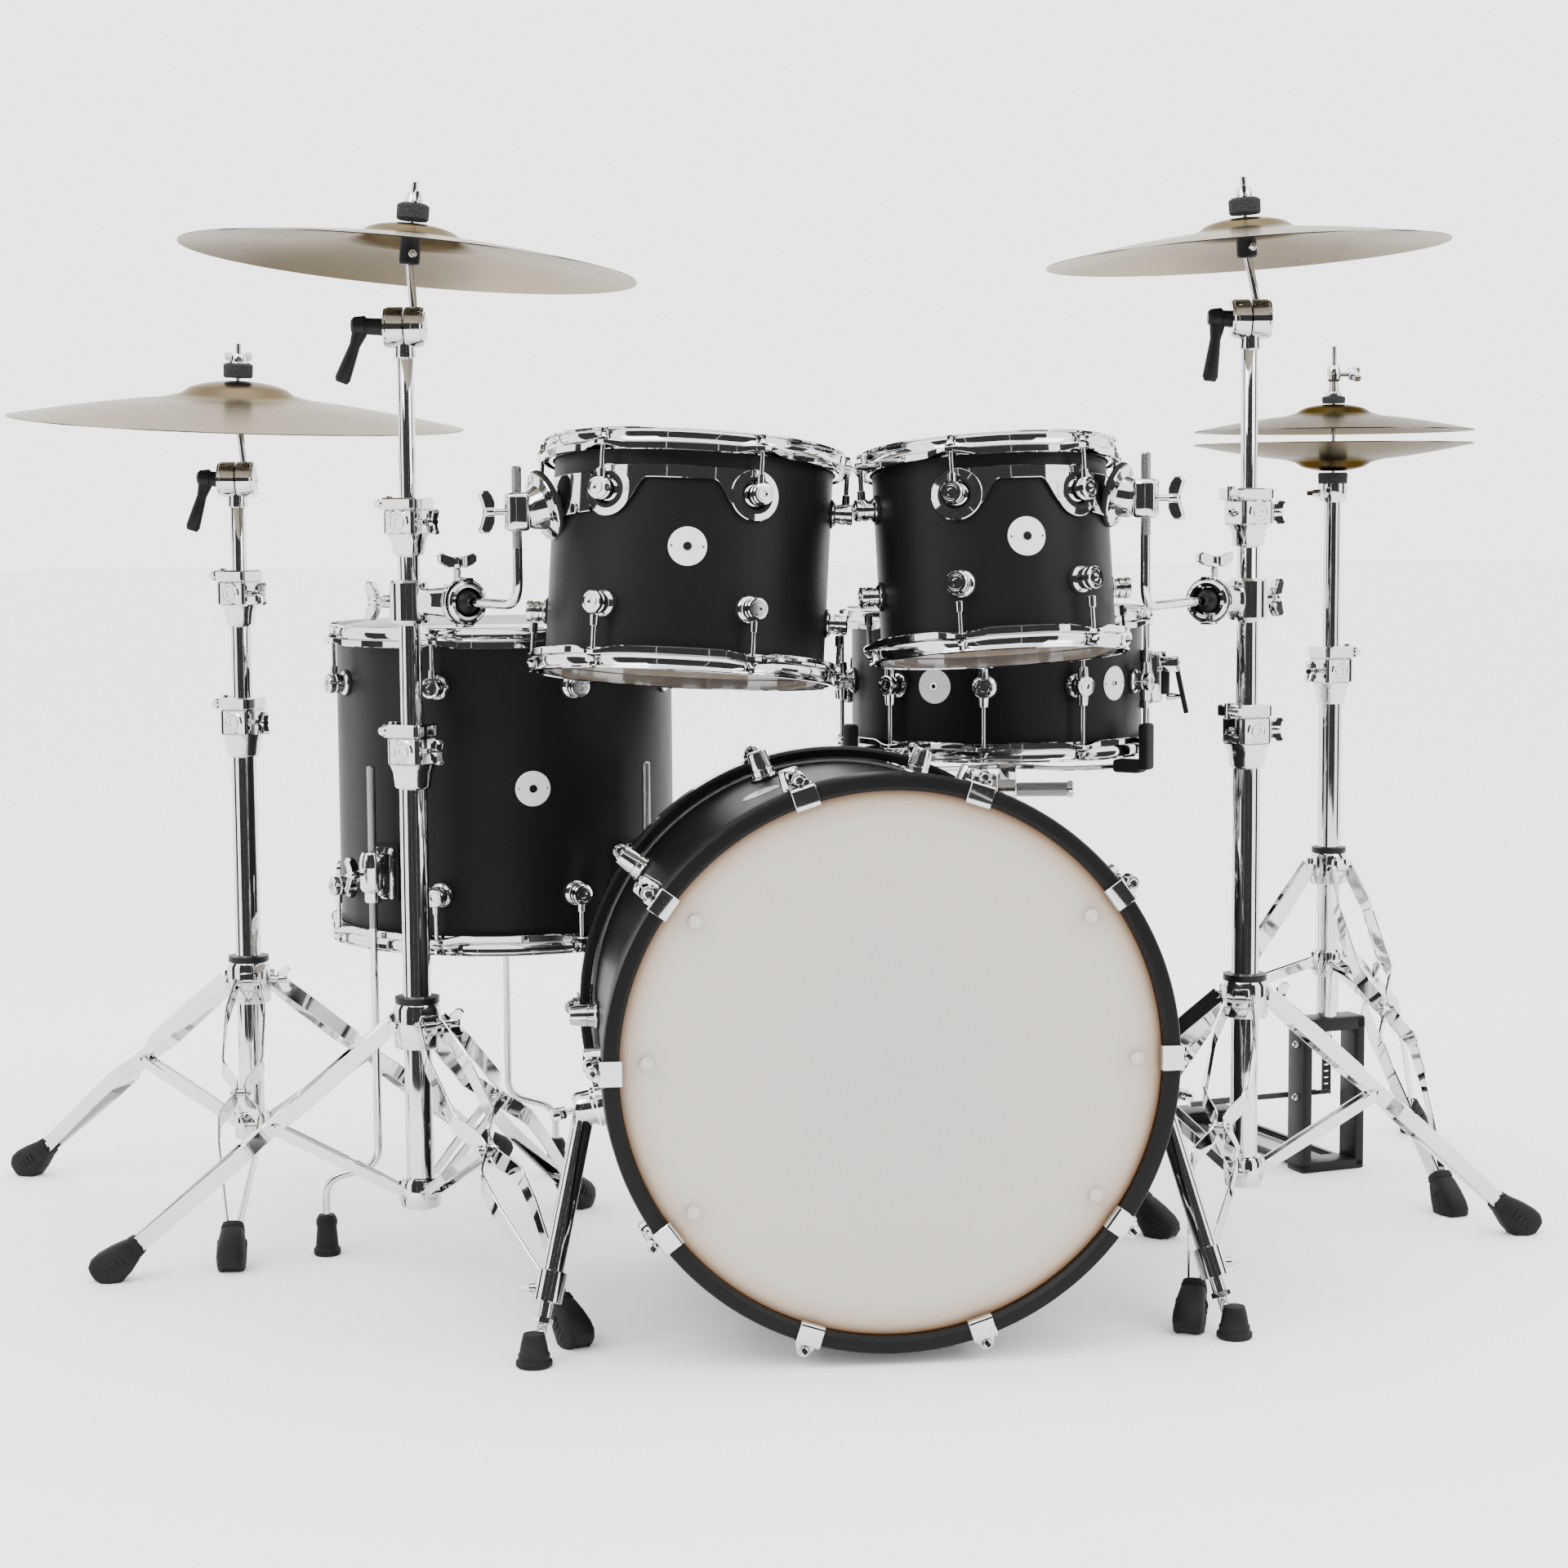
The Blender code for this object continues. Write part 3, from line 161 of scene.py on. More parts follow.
class Finish:
    """A node material: a Principled surface with procedural variation of colour, roughness and bump."""

    def __init__(self, name, colour, roughness, metallic=0.0, **sockets):
        self.material = bpy.data.materials.new(name)
        self.material.use_nodes = True
        self.tree = self.material.node_tree
        self.surface = self.tree.nodes["Principled BSDF"]
        self.set("Base Color", (*colour, 1.0))
        self.set("Roughness", roughness)
        self.set("Metallic", metallic)
        for socket, value in sockets.items():
            self.set(socket.replace("_", " "), value)
        self.place = self.add("ShaderNodeTexCoord").outputs["Object"]

    def set(self, socket, value):
        self.surface.inputs[socket].default_value = value

    def add(self, kind, values=(), **settings):
        """A node with its settings, and its own input values."""
        made = self.tree.nodes.new(kind)
        for key, value in settings.items():
            setattr(made, key, value)
        for socket, value in dict(values).items():
            made.inputs[socket].default_value = value
        return made

    def link(self, start, end):
        self.tree.links.new(start, end)

    def noise(self, scale, detail=3.0, stretch=(1, 1, 1)):
        mapping = self.add("ShaderNodeMapping", {"Scale": stretch})
        self.link(self.place, mapping.inputs["Vector"])
        texture = self.add("ShaderNodeTexNoise", {"Scale": scale, "Detail": detail})
        self.link(mapping.outputs["Vector"], texture.inputs["Vector"])
        return texture.outputs["Fac"]

    def wave(self, values, **settings):
        texture = self.add("ShaderNodeTexWave", values, **settings)
        self.link(self.place, texture.inputs["Vector"])
        return texture.outputs["Fac"]

    def rings(self, scale, distortion):
        return self.wave({"Scale": scale, "Distortion": distortion, "Detail": 2.0}, wave_type="RINGS",
                         rings_direction="Z")

    def threads(self, scale):
        return self.wave({"Scale": scale}, wave_type="BANDS", bands_direction="Z")

    def spread(self, factor, low, high):
        """Roughness between low and high."""
        mapped = self.add("ShaderNodeMapRange", {"To Min": low, "To Max": high})
        self.link(factor, mapped.inputs["Value"])
        self.link(mapped.outputs["Result"], self.surface.inputs["Roughness"])
        return self

    def tint(self, factor, stops):
        ramp = self.add("ShaderNodeValToRGB")
        while len(ramp.color_ramp.elements) < len(stops):
            ramp.color_ramp.elements.new(0.5)
        for element, (place, colour) in zip(ramp.color_ramp.elements, stops):
            element.position = place
            element.color = (*colour, 1.0)
        self.link(factor, ramp.inputs["Fac"])
        self.link(ramp.outputs["Color"], self.surface.inputs["Base Color"])
        return self

    def bump(self, factor, strength, distance=0.0004):
        made = self.add("ShaderNodeBump", {"Strength": strength, "Distance": distance})
        self.link(factor, made.inputs["Height"])
        self.link(made.outputs["Normal"], self.surface.inputs["Normal"])
        return self

    def radius(self, full):
        """Distance from the piece's own Z axis, as a share of its full radius."""
        flat = self.add("ShaderNodeVectorMath", operation="MULTIPLY")
        flat.inputs[1].default_value = (1 / full, 1 / full, 0)
        self.link(self.place, flat.inputs[0])
        length = self.add("ShaderNodeVectorMath", operation="LENGTH")
        self.link(flat.outputs["Vector"], length.inputs[0])
        return length.outputs["Value"]


def grained(name, colour, roughness, metallic=0.0, tint=None, gloss=None, grain=None, **sockets):
    """A finish varied by noise: tint (noise, dark, light), gloss (noise, low, high), grain (noise, depth)."""
    made = Finish(name, colour, roughness, metallic, **sockets)
    if tint:
        made.tint(made.noise(*tint[0]), list(zip(TINT_STOPS, tint[1:])))
    if gloss:
        made.spread(made.noise(*gloss[0]), *gloss[1:])
    if grain:
        made.bump(made.noise(*grain[0]), *grain[1:])
    return made.material


CHROME = grained("chrome_plate", (0.60, 0.605, 0.615), 0.05, 1.0, gloss=((26.0,), 0.02, 0.07),
                 grain=((14.0,), 0.02))
KNURL = grained("knurled_steel", (0.26, 0.26, 0.265), 0.32, 1.0, gloss=((300.0,), 0.24, 0.42),
                grain=((900.0, 1.0, (1, 1, 0.6)), 0.7, 0.0006))
SATIN = grained("satin_black", (0.004, 0.004, 0.0042), 0.42, Specular_IOR_Level=0.13,
                tint=((5.0,), (0.0034, 0.0034, 0.0036), (0.0048, 0.0048, 0.0051)),
                gloss=((60.0,), 0.38, 0.48), grain=((900.0, 1.0), 0.05, 0.0001))
WOOD = grained("maple_ply", (0.55, 0.38, 0.22), 0.45, Coat_Weight=0.2,
               tint=((9.0, 5.0, (1, 1, 12)), (0.50, 0.33, 0.18), (0.68, 0.50, 0.30)),
               grain=((60.0, 3.0, (1, 1, 9)), 0.1))
RUBBER = grained("black_rubber", (0.007, 0.007, 0.0075), 0.62, Specular_IOR_Level=0.14,
                 tint=((40.0,), (0.005, 0.005, 0.0055), (0.010, 0.010, 0.0105)), gloss=((80.0,), 0.54, 0.74),
                 grain=((700.0,), 0.15))
BLACK = grained("black_coated_metal", (0.006, 0.006, 0.0065), 0.40, Specular_IOR_Level=0.16,
                gloss=((60.0,), 0.32, 0.50), grain=((1200.0, 1.0), 0.12, 0.0002))
FELT = grained("grey_felt", (0.025, 0.025, 0.026), 0.95, Sheen_Weight=0.05, Specular_IOR_Level=0.1,
               tint=((600.0, 5.0), (0.010, 0.010, 0.011), (0.040, 0.040, 0.042)),
               grain=((900.0, 4.0), 0.8, 0.0008))
COATED = grained("coated_film", (0.72, 0.72, 0.70), 0.62,
                 tint=((14.0,), (0.69, 0.69, 0.67), (0.75, 0.75, 0.73)), grain=((1400.0, 2.0), 0.3, 0.0002))
CLEAR = grained("clear_film", (0.55, 0.54, 0.52), 0.08, Alpha=0.32, gloss=((8.0,), 0.05, 0.16),
                grain=((6.0,), 0.03))

IVORY_RINGS = ((0.0, (0.385, 0.360, 0.328)), (0.90, (0.400, 0.370, 0.332)), (0.962, (0.36, 0.29, 0.21)),
               (1.0, (0.15, 0.075, 0.03)))         # share of the head's radius, colour
GRAZING = (0.62, 0.58, 0.51)                       # colour of bronze seen almost edge on
BELL_EDGE = 0.06                                   # share of the radius over which the bell's tone fades
BRONZE_TONES = ((0.060, 0.045, 0.026), (0.105, 0.082, 0.052), (0.185, 0.158, 0.118), (0.235, 0.208, 0.168),
                (0.280, 0.255, 0.212))             # from the middle outward


def ivory_finish():
    made = Finish("ivory_film", (0.80, 0.76, 0.70), 0.42, Coat_Weight=0.15, Coat_Roughness=0.3)
    made.tint(made.radius(BASS["radius"]), IVORY_RINGS)
    return made.bump(made.noise(900.0, 2.0), 0.08, 0.0001).material


def cymbal_finish(name, radius, bell, shine):
    """Bronze, darker and more golden at the bell.  shine scales it as a whole."""
    share = bell / radius
    tones = [[shine * part for part in tone] for tone in BRONZE_TONES]
    made = Finish(name, BRONZE_TONES[3], 0.30, 1.0, Specular_Tint=[shine * part for part in GRAZING] + [1.0])
    made.tint(made.radius(radius), list(zip((0.0, share, share + BELL_EDGE, 0.72, 1.0), tones)))
    made.spread(made.noise(12.0), 0.18, 0.30)
    return made.bump(made.rings(130.0, 0.6), 0.20, 0.0002).material


def badge_finish():
    made = Finish("badge_silver", (0.62, 0.62, 0.62), 0.36, 0.1)
    made.spread(made.rings(240.0, 0.2), 0.22, 0.38)
    return made.bump(made.rings(240.0, 0.2), 0.1, 0.0001).material


def thread_finish():
    made = Finish("threaded_steel", (0.50, 0.50, 0.51), 0.25, 1.0)
    made.spread(made.noise(90.0), 0.2, 0.35)
    return made.bump(made.threads(160.0), 0.8, 0.0006).material


IVORY = ivory_finish()
SILVER = badge_finish()
THREAD = thread_finish()


# ---------------------------------------------------------------- frames and paths
def polar(radius, degrees, z=0.0):
    angle = math.radians(degrees)
    return Vector((radius * math.cos(angle), radius * math.sin(angle), z))


def at(x, y=None, z=None):
    """A frame moved to a vector, or to three numbers."""
    return Matrix.Translation(x if y is None else (x, y, z))


def spin(degrees, axis="Z"):
    return Matrix.Rotation(math.radians(degrees), 4, axis)


def axes(x, y, z, place):
    made = Matrix((x, y, z)).transposed().to_4x4()
    made.translation = place
    return made


def facing(direction, place=Vector(), up=UP):
    """A frame at place whose Z points along direction."""
    z = Vector(direction).normalized()
    if abs(z.dot(up)) > 0.999:
        up = BACK
    x = up.cross(z).normalized()
    return axes(x, z.cross(x), z, place)


def circle(radius, steps):
    return [(radius * math.cos(math.tau * i / steps), radius * math.sin(math.tau * i / steps))
            for i in range(steps)]


def strap_section(width, thick):
    w, t = width / 2, thick / 2
    c = min(w, t) * 0.5
    return [(w - c, t), (-w + c, t), (-w, t - c), (-w, -t + c), (-w + c, -t), (w - c, -t), (w, -t + c),
            (w, t - c)]


def shifted(profile, radius=0.0, height=0.0):
    """The (radius, height) profile moved out and up.  A radius of None stays on the axis."""
    return [(0 if r is None else radius + r, height + z) for r, z in profile]


def rounded(points, radius, steps=6):
    """The same path with its corners turned into short curves."""
    made = [points[0]]
    for before, corner, after in zip(points, points[1:], points[2:]):
        into, out = before - corner, after - corner
        start = corner + into.normalized() * min(radius, into.length * 0.48)
        end = corner + out.normalized() * min(radius, out.length * 0.48)
        for i in range(steps + 1):
            t = i / steps
            made.append(start * (1 - t) ** 2 + corner * 2 * t * (1 - t) + end * t * t)
    return [*made, points[-1]]


def rounded_ring(centre, across, lift, half_wide, half_high, steps=24, square=0.62):
    """A soft-cornered rectangle of points round centre."""
    ring = []
    for i in range(steps):
        c, n = math.cos(math.tau * i / steps), math.sin(math.tau * i / steps)
        x = math.copysign(abs(c) ** square, c) * half_wide
        y = math.copysign(abs(n) ** square, n) * half_high
        ring.append(centre + across * x + lift * y)
    return ring


# ---------------------------------------------------------------- mesh building
def mesh_from(bm, name):
    mesh = bpy.data.meshes.new(name)
    bm.to_mesh(mesh)
    bm.free()
    return mesh


def placed(name, data, matrix=Matrix()):
    """A new object in the scene."""
    thing = bpy.data.objects.new(name, data)
    bpy.context.scene.collection.objects.link(thing)
    thing.matrix_world = matrix
    return thing


class Shape:
    """One piece in the making: closed solids added to a mesh, each in one of the piece's materials."""

    def __init__(self, *materials):
        self.bm = bmesh.new()
        self.materials = materials
        self.slot = 0

    def use(self, material):
        self.slot = self.materials.index(material)
        return self

    def face(self, corners):
        self.bm.faces.new(corners).material_index = self.slot

    def loft(self, rings, loop=False, caps=True):
        rows = [[self.bm.verts.new(point) for point in ring] for ring in rings]
        pairs = list(zip(rows, rows[1:]))
        if loop:
            pairs.append((rows[-1], rows[0]))
        for first, second in pairs:
            for i in range(len(first)):
                j = (i + 1) % len(first)
                self.face((first[i], first[j], second[j], second[i]))
        if caps and not loop:
            self.face(rows[0][::-1])
            self.face(rows[-1])

    def lathe(self, profile, place=Matrix(), steps=32, loop=False, caps=True):
        """Turns (radius, height) points round the Z axis of place."""
        self.loft([[place @ polar(max(r, TINY), 360 * i / steps, z) for i in range(steps)]
                   for r, z in profile], loop, caps)

    def bar(self, start, end, radius, end_radius=None, steps=24, edge=0.0006):
        """A round bar with eased ends."""
        end_radius = radius if end_radius is None else end_radius
        length = (end - start).length
        edge = min(edge, radius * 0.4, end_radius * 0.4, length * 0.3)
        profile = [(0, 0), (radius - edge, 0), (radius, edge), (end_radius, length - edge),
                   (end_radius - edge, length), (0, length)]
        self.lathe(profile, facing(end - start, start), steps)

    def pin(self, middle, across, reach, radius):
        """A bar that reaches the same way to both sides of middle."""
        self.bar(middle - across * reach, middle + across * reach, radius)

    def sweep(self, points, section, up=UP, flat=None):
        """Carries a flat section along a path, its second axis near up, or its first axis fixed as flat."""
        up = up.normalized()
        rings = []
        for i, point in enumerate(points):
            before, after = points[max(i - 1, 0)], points[min(i + 1, len(points) - 1)]
            along = (after - before).normalized()
            if abs(along.dot(up)) > 0.995:
                up = BACK if abs(along.y) < 0.9 else RIGHT
            across = flat or along.cross(up).normalized()
            lift = across.cross(along)
            rings.append([point + across * x + lift * y for x, y in section])
        self.loft(rings)

    def wire(self, points, radius, steps=16):
        """A round rod along a path, carried without twisting."""
        across = (points[1] - points[0]).normalized().orthogonal().normalized()
        rings = []
        for i, point in enumerate(points):
            along = (points[min(i + 1, len(points) - 1)] - points[max(i - 1, 0)]).normalized()
            across = (across - along * across.dot(along)).normalized()
            lift = along.cross(across)
            rings.append([point + across * x + lift * y for x, y in circle(radius, steps)])
        self.loft(rings)

    def box(self, size, place, bevel=0.0015, segments=2, taper=1.0):
        """A bevelled block.  taper narrows its +X end."""
        part = bmesh.new()
        bmesh.ops.create_cube(part, size=1.0)
        for v in part.verts:
            k = taper if v.co.x > 0 else 1.0
            v.co = Vector((v.co.x * size[0], v.co.y * size[1] * k, v.co.z * size[2] * k))
        bmesh.ops.bevel(part, geom=part.edges[:], offset=bevel, segments=segments, profile=0.5,
                        affect="EDGES")
        bmesh.ops.transform(part, matrix=place, verts=part.verts)
        for f in part.faces:
            f.material_index = self.slot
        mesh = mesh_from(part, "block")
        self.bm.from_mesh(mesh)
        bpy.data.meshes.remove(mesh)

    def plate(self, outline, thick, place, ease=0.0008):
        """A flat outline with thickness and eased edges, across the Z axis of place."""
        middle = sum((Vector(p) for p in outline), Vector((0, 0))) / len(outline)
        reach = max((Vector(p) - middle).length for p in outline)
        inset = 1 - ease / reach
        rings = []
        for k, z in ((inset, -thick / 2), (1, -thick / 2 + ease), (1, thick / 2 - ease), (inset, thick / 2)):
            rings.append([place @ Vector((*(middle + (Vector(p) - middle) * k), z)) for p in outline])
        self.loft(rings)

    def ears(self, outline, thick, place, ease):
        """Two mirrored plates standing up along the Z axis of place."""
        for side in (-1, 1):
            ear = [(side * x, y) for x, y in outline]
            self.plate(ear if side > 0 else ear[::-1], thick, place @ spin(90, "X"), ease)

    def welded(self, name):
        """The finished mesh, its doubled points joined and its faces turned outward."""
        bmesh.ops.remove_doubles(self.bm, verts=self.bm.verts, dist=MERGE)
        bmesh.ops.recalc_face_normals(self.bm, faces=self.bm.faces)
        return mesh_from(self.bm, name)

    def piece(self, name, body, slot, place=Matrix(), replaces=(), sharp=32):
        """Finishes the mesh and lets it ride on its body."""
        mesh = self.welded(name)
        for material in self.materials:
            mesh.materials.append(material)
        mesh.shade_smooth()
        mesh.set_sharp_from_angle(angle=math.radians(sharp))
        thing = placed(name, mesh, SHIFT @ place)
        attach(thing, body)
        if replaces:
            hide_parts(*replaces)
        return thing


# ---------------------------------------------------------------- small hardware
RINGED_END = ((1, -0.001), (1, 0.0), (0.88, 0.0012), (0.70, 0.0012), (0.66, 0.0004), (0.60, 0.0004),
              (0.56, 0.0014), (0.30, 0.0014), (0.26, 0.0006), (0, 0.0006))     # share of the radius, height
WING_HUB = ((0, -0.004), (0.006, -0.004), (0.0068, -0.002), (0.006, 0.006), (0.004, 0.008), (0, 0.008))
WING_ROOT = ((0.003, -0.004), (0.010, -0.004))
WING_TIP = ((-0.005, -0.001), (0, 0.003), (0, 0.010), (-0.004, 0.013))         # from the wing's span
WING_BACK = ((0.010, 0.010), (0.003, 0.008))
WING_SCREW = 0.0032
WING_EASE = 0.0022
WINGS = {"collar": (0.024, 0.014, 90, 0.0095), "hub": (0.024, 0.016, 90), "spur": (0.026, 0.016, 90),
         "bracket": (0.030, 0.023, 90, 0.014), "clamp_top": (0.026, 0.022, math.degrees(0.35), 0.013),
         "clamp_back": (0.034, 0.022, 90, 0.012), "floor_leg": (0.028, 0.021, 90),
         "clutch": (0.026, 0.014, math.degrees(0.5))}                          # length, span, turn, thickness
KEY_HEAD = (0.0050, 0.0046)
KEY_SQUARE = (0.0032, 0.0028, 0.0022)


def ringed_end(shape, centre, outward, radius):
    """Concentric rings on the flat end of a casting."""
    shape.lathe([(radius * share, z) for share, z in RINGED_END], facing(outward, centre))


def wing_screw(shape, root, outward, kind):
    """Screw with a two-eared grip."""
    length, span, turn, *thick = WINGS[kind]
    outward = outward.normalized()
    shape.bar(root, root + outward * length * 0.7, WING_SCREW)
    place = facing(outward, root + outward * length * 0.62) @ spin(turn)
    shape.lathe(WING_HUB, place)
    shape.ears([*WING_ROOT, *shifted(WING_TIP, span), *WING_BACK], thick[0] if thick else 0.0085, place,
               WING_EASE)


def key_screw(shape, root, outward, length):
    """Round screw head with the square drive of a drum key."""
    outward = outward.normalized()
    shape.bar(root, root + outward * length * 0.5, *KEY_HEAD)
    low, high, tip = KEY_SQUARE
    shape.lathe([(0, 0), (low, 0), (high, length * 0.5), (tip, length * 0.52), (0, length * 0.52)],
                facing(outward, root + outward * length * 0.45), 4)


def bored_block(shape, middle, across, half_wide, half_deep, half_high, bore, ease=0.0025):
    """Soft-cornered block with an upright hole through it."""
    deep = UP.cross(across)
    rings = []
    for inset, z in ((ease, -half_high), (0, ease - half_high), (0, half_high - ease), (ease, half_high)):
        rings.append(rounded_ring(middle + UP * z, across, deep, half_wide - inset, half_deep - inset, 48,
                                  0.22))
    for z in (half_high, -half_high):
        rings.append(rounded_ring(middle + UP * z, across, deep, bore, bore, 48, 1.0))
    shape.loft(rings, loop=True)


COLLAR_DEPTH = COLLAR * 0.46
COLLAR_PIN = 0.0052
COLLAR_KEY = 0.0046
COLLAR_RINGS = 0.0145
SLEEVE = ((0, 0), (0.0060, 0))                     # out from the tube, height
SLEEVE_SHOULDER = 0.0130


def memory_collar(shape, centre, bottom, top, tube, turn=0, side=1):
    """Height clamp turned about its tube: block with a relief, top plate, hinge pin, wing screw, sleeve."""
    height = top - bottom
    middle = centre + UP * (bottom + height * 0.56)
    across, front = polar(1, turn), polar(1, turn - 90)
    bored_block(shape, middle, across, COLLAR / 2, COLLAR_DEPTH, height * 0.22, tube)
    lid = middle + UP * height * 0.31 - across * side * 0.003
    bored_block(shape, lid, across, COLLAR * 0.58, COLLAR * 0.50, height * 0.10, tube, 0.0018)
    shape.lathe(shifted([*SLEEVE, (0.0072, 0.002), (0.0090, height * 0.24), (SLEEVE_SHOULDER, height * 0.36),
                         (0, height * 0.36)], tube), at(centre + UP * bottom), loop=True)
    ringed_end(shape, middle + front * COLLAR_DEPTH, front, COLLAR_RINGS)
    pin = lid - across * side * COLLAR * 0.52
    shape.bar(pin - UP * height * 0.12, pin + UP * height * 0.13, COLLAR_PIN)
    shape.bar(pin + front * 0.004, pin + front * 0.0235, COLLAR_KEY)
    wing_screw(shape, middle + across * side * COLLAR_DEPTH, across * side + front * 0.35, "collar")
    key_screw(shape, middle - across * side * COLLAR_DEPTH, -across * side, 0.010)


# ---------------------------------------------------------------- tripods
FLOOR_CLEAR = 0.0006
FOOT_RINGS = ((0.000, 0.0095, 0.0085), (0.003, 0.0130, 0.0120), (0.009, 0.0140, 0.0132),
              (0.011, 0.0128, 0.0124), (0.014, 0.0142, 0.0142), (0.030, 0.0160, 0.0190),
              (0.046, 0.0170, 0.0222), (0.056, 0.0166, 0.0220), (0.063, 0.0145, 0.0180),
              (0.066, 0.0100, 0.0110))   # reach, half width, half height
RIB_WIDE = 0.0174
RIB_HIGH = 0.0085
RIB_DEEP = 0.003
RIB_FIRST = 0.026
RIB_STEP = 0.007
LEG_BOW = ((0.00, 0.0130), (0.14, 0.0235), (0.36, 0.0240), (0.435, 0.0050), (0.485, 0.0050), (0.56, 0.0240),
           (0.68, 0.0225), (1.00, 0.0055))         # share of the leg, half the gap between its straps
LEG_STRAP = strap_section(0.0028, 0.019)
BRACE_STRAP = strap_section(0.0022, 0.012)
BRACE_BOW = (0.0070, 0.0095, 0.0088)
BRACE_AT = 0.46                                    # share of the leg where the brace meets it
HUB_FOOT = ((0, 0), (0.010, 0), (0.011, 0.002))
HUB_HEAD = ((0.011, -0.010), (0.008, -0.004), (0, -0.004))
HUB_CAP = ((0, -0.004), (0.0095, -0.004), (0.0095, 0.003), (0, 0.004))
BRACE_COLLAR = ((0, 0), (0.006, 0.002), (0.007, 0.006), (0.007, 0.030), (0.004, 0.036), (0, 0.036))
BRACE_LUG = (0.016, 0.012, 0.026)
LEG_HINGE = (0.020, 0.020, 0.024)


def rubber_foot(shape, heel, along, across):
    """Rubber shoe that follows the leg's slope and is worn flat where it meets the floor."""
    lift = across.cross(along).normalized()
    if lift.z < 0:
        lift = -lift
    start = heel - along * 0.012
    rings = []
    for reach, half_wide, half_high in FOOT_RINGS:
        ring = rounded_ring(start + along * reach, across, lift, half_wide, half_high)
        rings.append([Vector((p.x, p.y, max(p.z, FLOOR_CLEAR))) for p in ring])
    shape.loft(rings)
    for k in range(4):
        middle = start + along * (RIB_FIRST + RIB_STEP * k)
        shape.loft([rounded_ring(end, across, lift, RIB_WIDE, RIB_HIGH, square=0.4)
                    for end in (middle, middle + along * RIB_DEEP)])


def tripod(prefix, centre, azimuths, legs, foot_circle, tube_low, body):
    """Double flat straps, pinched braces, rivets, leg collars and rubber feet."""
    low, high = legs
    steel, feet = Shape(CHROME, BLACK), Shape(RUBBER)
    tube = LOWER_TUBE if foot_circle == FOOT_CIRCLE else MIDDLE_TUBE
    steel.lathe([*shifted(HUB_FOOT, tube, low), *shifted(HUB_HEAD, tube, high)], at(centre), loop=True)
    steel.lathe(shifted(BRACE_COLLAR, tube, tube_low), at(centre), loop=True)
    steel.use(BLACK).lathe(shifted(HUB_CAP, tube, high), at(centre), loop=True)
    steel.use(CHROME)
    for azimuth in azimuths:
        outward, across = polar(1, azimuth), polar(1, azimuth + 90)
        shoulder = centre + polar(tube + 0.012, azimuth, (low + high) / 2)
        heel = centre + polar(foot_circle - 0.044, azimuth, 0.037)
        along = (heel - shoulder).normalized()
        middle = shoulder.lerp(heel, BRACE_AT)
        root = centre + polar(tube + 0.004, azimuth, tube_low + 0.020)
        for side in (-1, 1):
            path = [shoulder.lerp(heel, t) + across * side * half for t, half in LEG_BOW]
            steel.sweep(rounded(path, 0.010, 3), LEG_STRAP)
            bow = [root.lerp(middle, k / 2) + across * side * half for k, half in enumerate(BRACE_BOW)]
            steel.sweep(rounded(bow, 0.05), BRACE_STRAP)
        for spot, reach, thick in ((middle, 0.0125, 0.0038), (root, 0.0105, 0.0038),
                                   (heel - along * 0.012, 0.0095, 0.0038), (shoulder, 0.0170, 0.0046),
                                   (middle, 0.0065, 0.0062), (root, 0.0065, 0.0062),
                                   (shoulder, 0.0065, 0.0062)):
            steel.pin(spot, across, reach, thick)
        steel.box(BRACE_LUG, at(root - outward * 0.003) @ spin(azimuth), 0.002)
        steel.box(LEG_HINGE, at(shoulder - outward * 0.006) @ spin(azimuth), 0.003)
        rubber_foot(feet, heel, along, across)
    steel.piece(prefix + "_legs", body, "chrome")
    feet.piece(prefix + "_feet", body, "chrome")


# ---------------------------------------------------------------- drums
BEARING = 0.003
LUG_GASKET = ((0, -0.001), (0.0158, -0.001), (0.0158, 0.0012), (0.0150, 0.0020), (0, 0.0020))
TURRET = ((0, 0.001), (0.0142, 0.001), (0.0142, 0.0034), (0.0132, 0.0046), (0.0108, 0.0060), (0.0106, 0.0092),
          (0.0118, 0.0104), (0.0118, 0.0148), (0.0108, 0.0158), (0.0108, 0.0170), (0.0120, 0.0180),
          (0.0120, 0.0226), (0.0110, 0.0238), (0.0090, 0.0240), (0.0086, 0.0230), (0.0072, 0.0230),
          (0.0068, 0.0240), (0.0044, 0.0240), (0.0040, 0.0212), (0, 0.0212))
CONE_GASKET = ((0, -0.001), (0.0165, -0.001), (0.0165, 0.0014), (0.0156, 0.0024), (0, 0.0024))
CONE_LUG = ((0, 0.0010), (0.0150, 0.0010), (0.0150, 0.0036), (0.0138, 0.0052), (0.0132, 0.0054),
            (0.0128, 0.0110), (0.0122, 0.0116), (0.0122, 0.0128), (0.0127, 0.0134), (0.0112, 0.0290),
            (0.0106, 0.0318), (0.0092, 0.0330), (0.0074, 0.0330), (0.0070, 0.0318), (0.0052, 0.0318),
            (0.0048, 0.0330), (0, 0.0330))
LUG_ARM = (0.0155, 0.008, 0.023)                   # out from the shell, from and to above its middle
ROD_WASHER = ((0, 0.0004), (0.0060, 0.0004), (0.0060, 0.0014), (0, 0.0014))
ROD_HEAD = ((0, 0.0010), (0.0058, 0.0012), (0.0058, 0.0026), (0.0036, 0.0052), (0.0031, 0.0070), (0, 0.0070))
ROD_KEY = ((0, 0.006), (0.0030, 0.006), (0.0028, 0.0118), (0.0018, 0.0126), (0, 0.0126))
ROD_NUT = (0.009, 0.021, 0.0046, 0.0042)           # from, to, radius, end radius
HOOP_STEPS = 240
EAR_WIDE = 0.030
FILM_SEAT = 0.0008
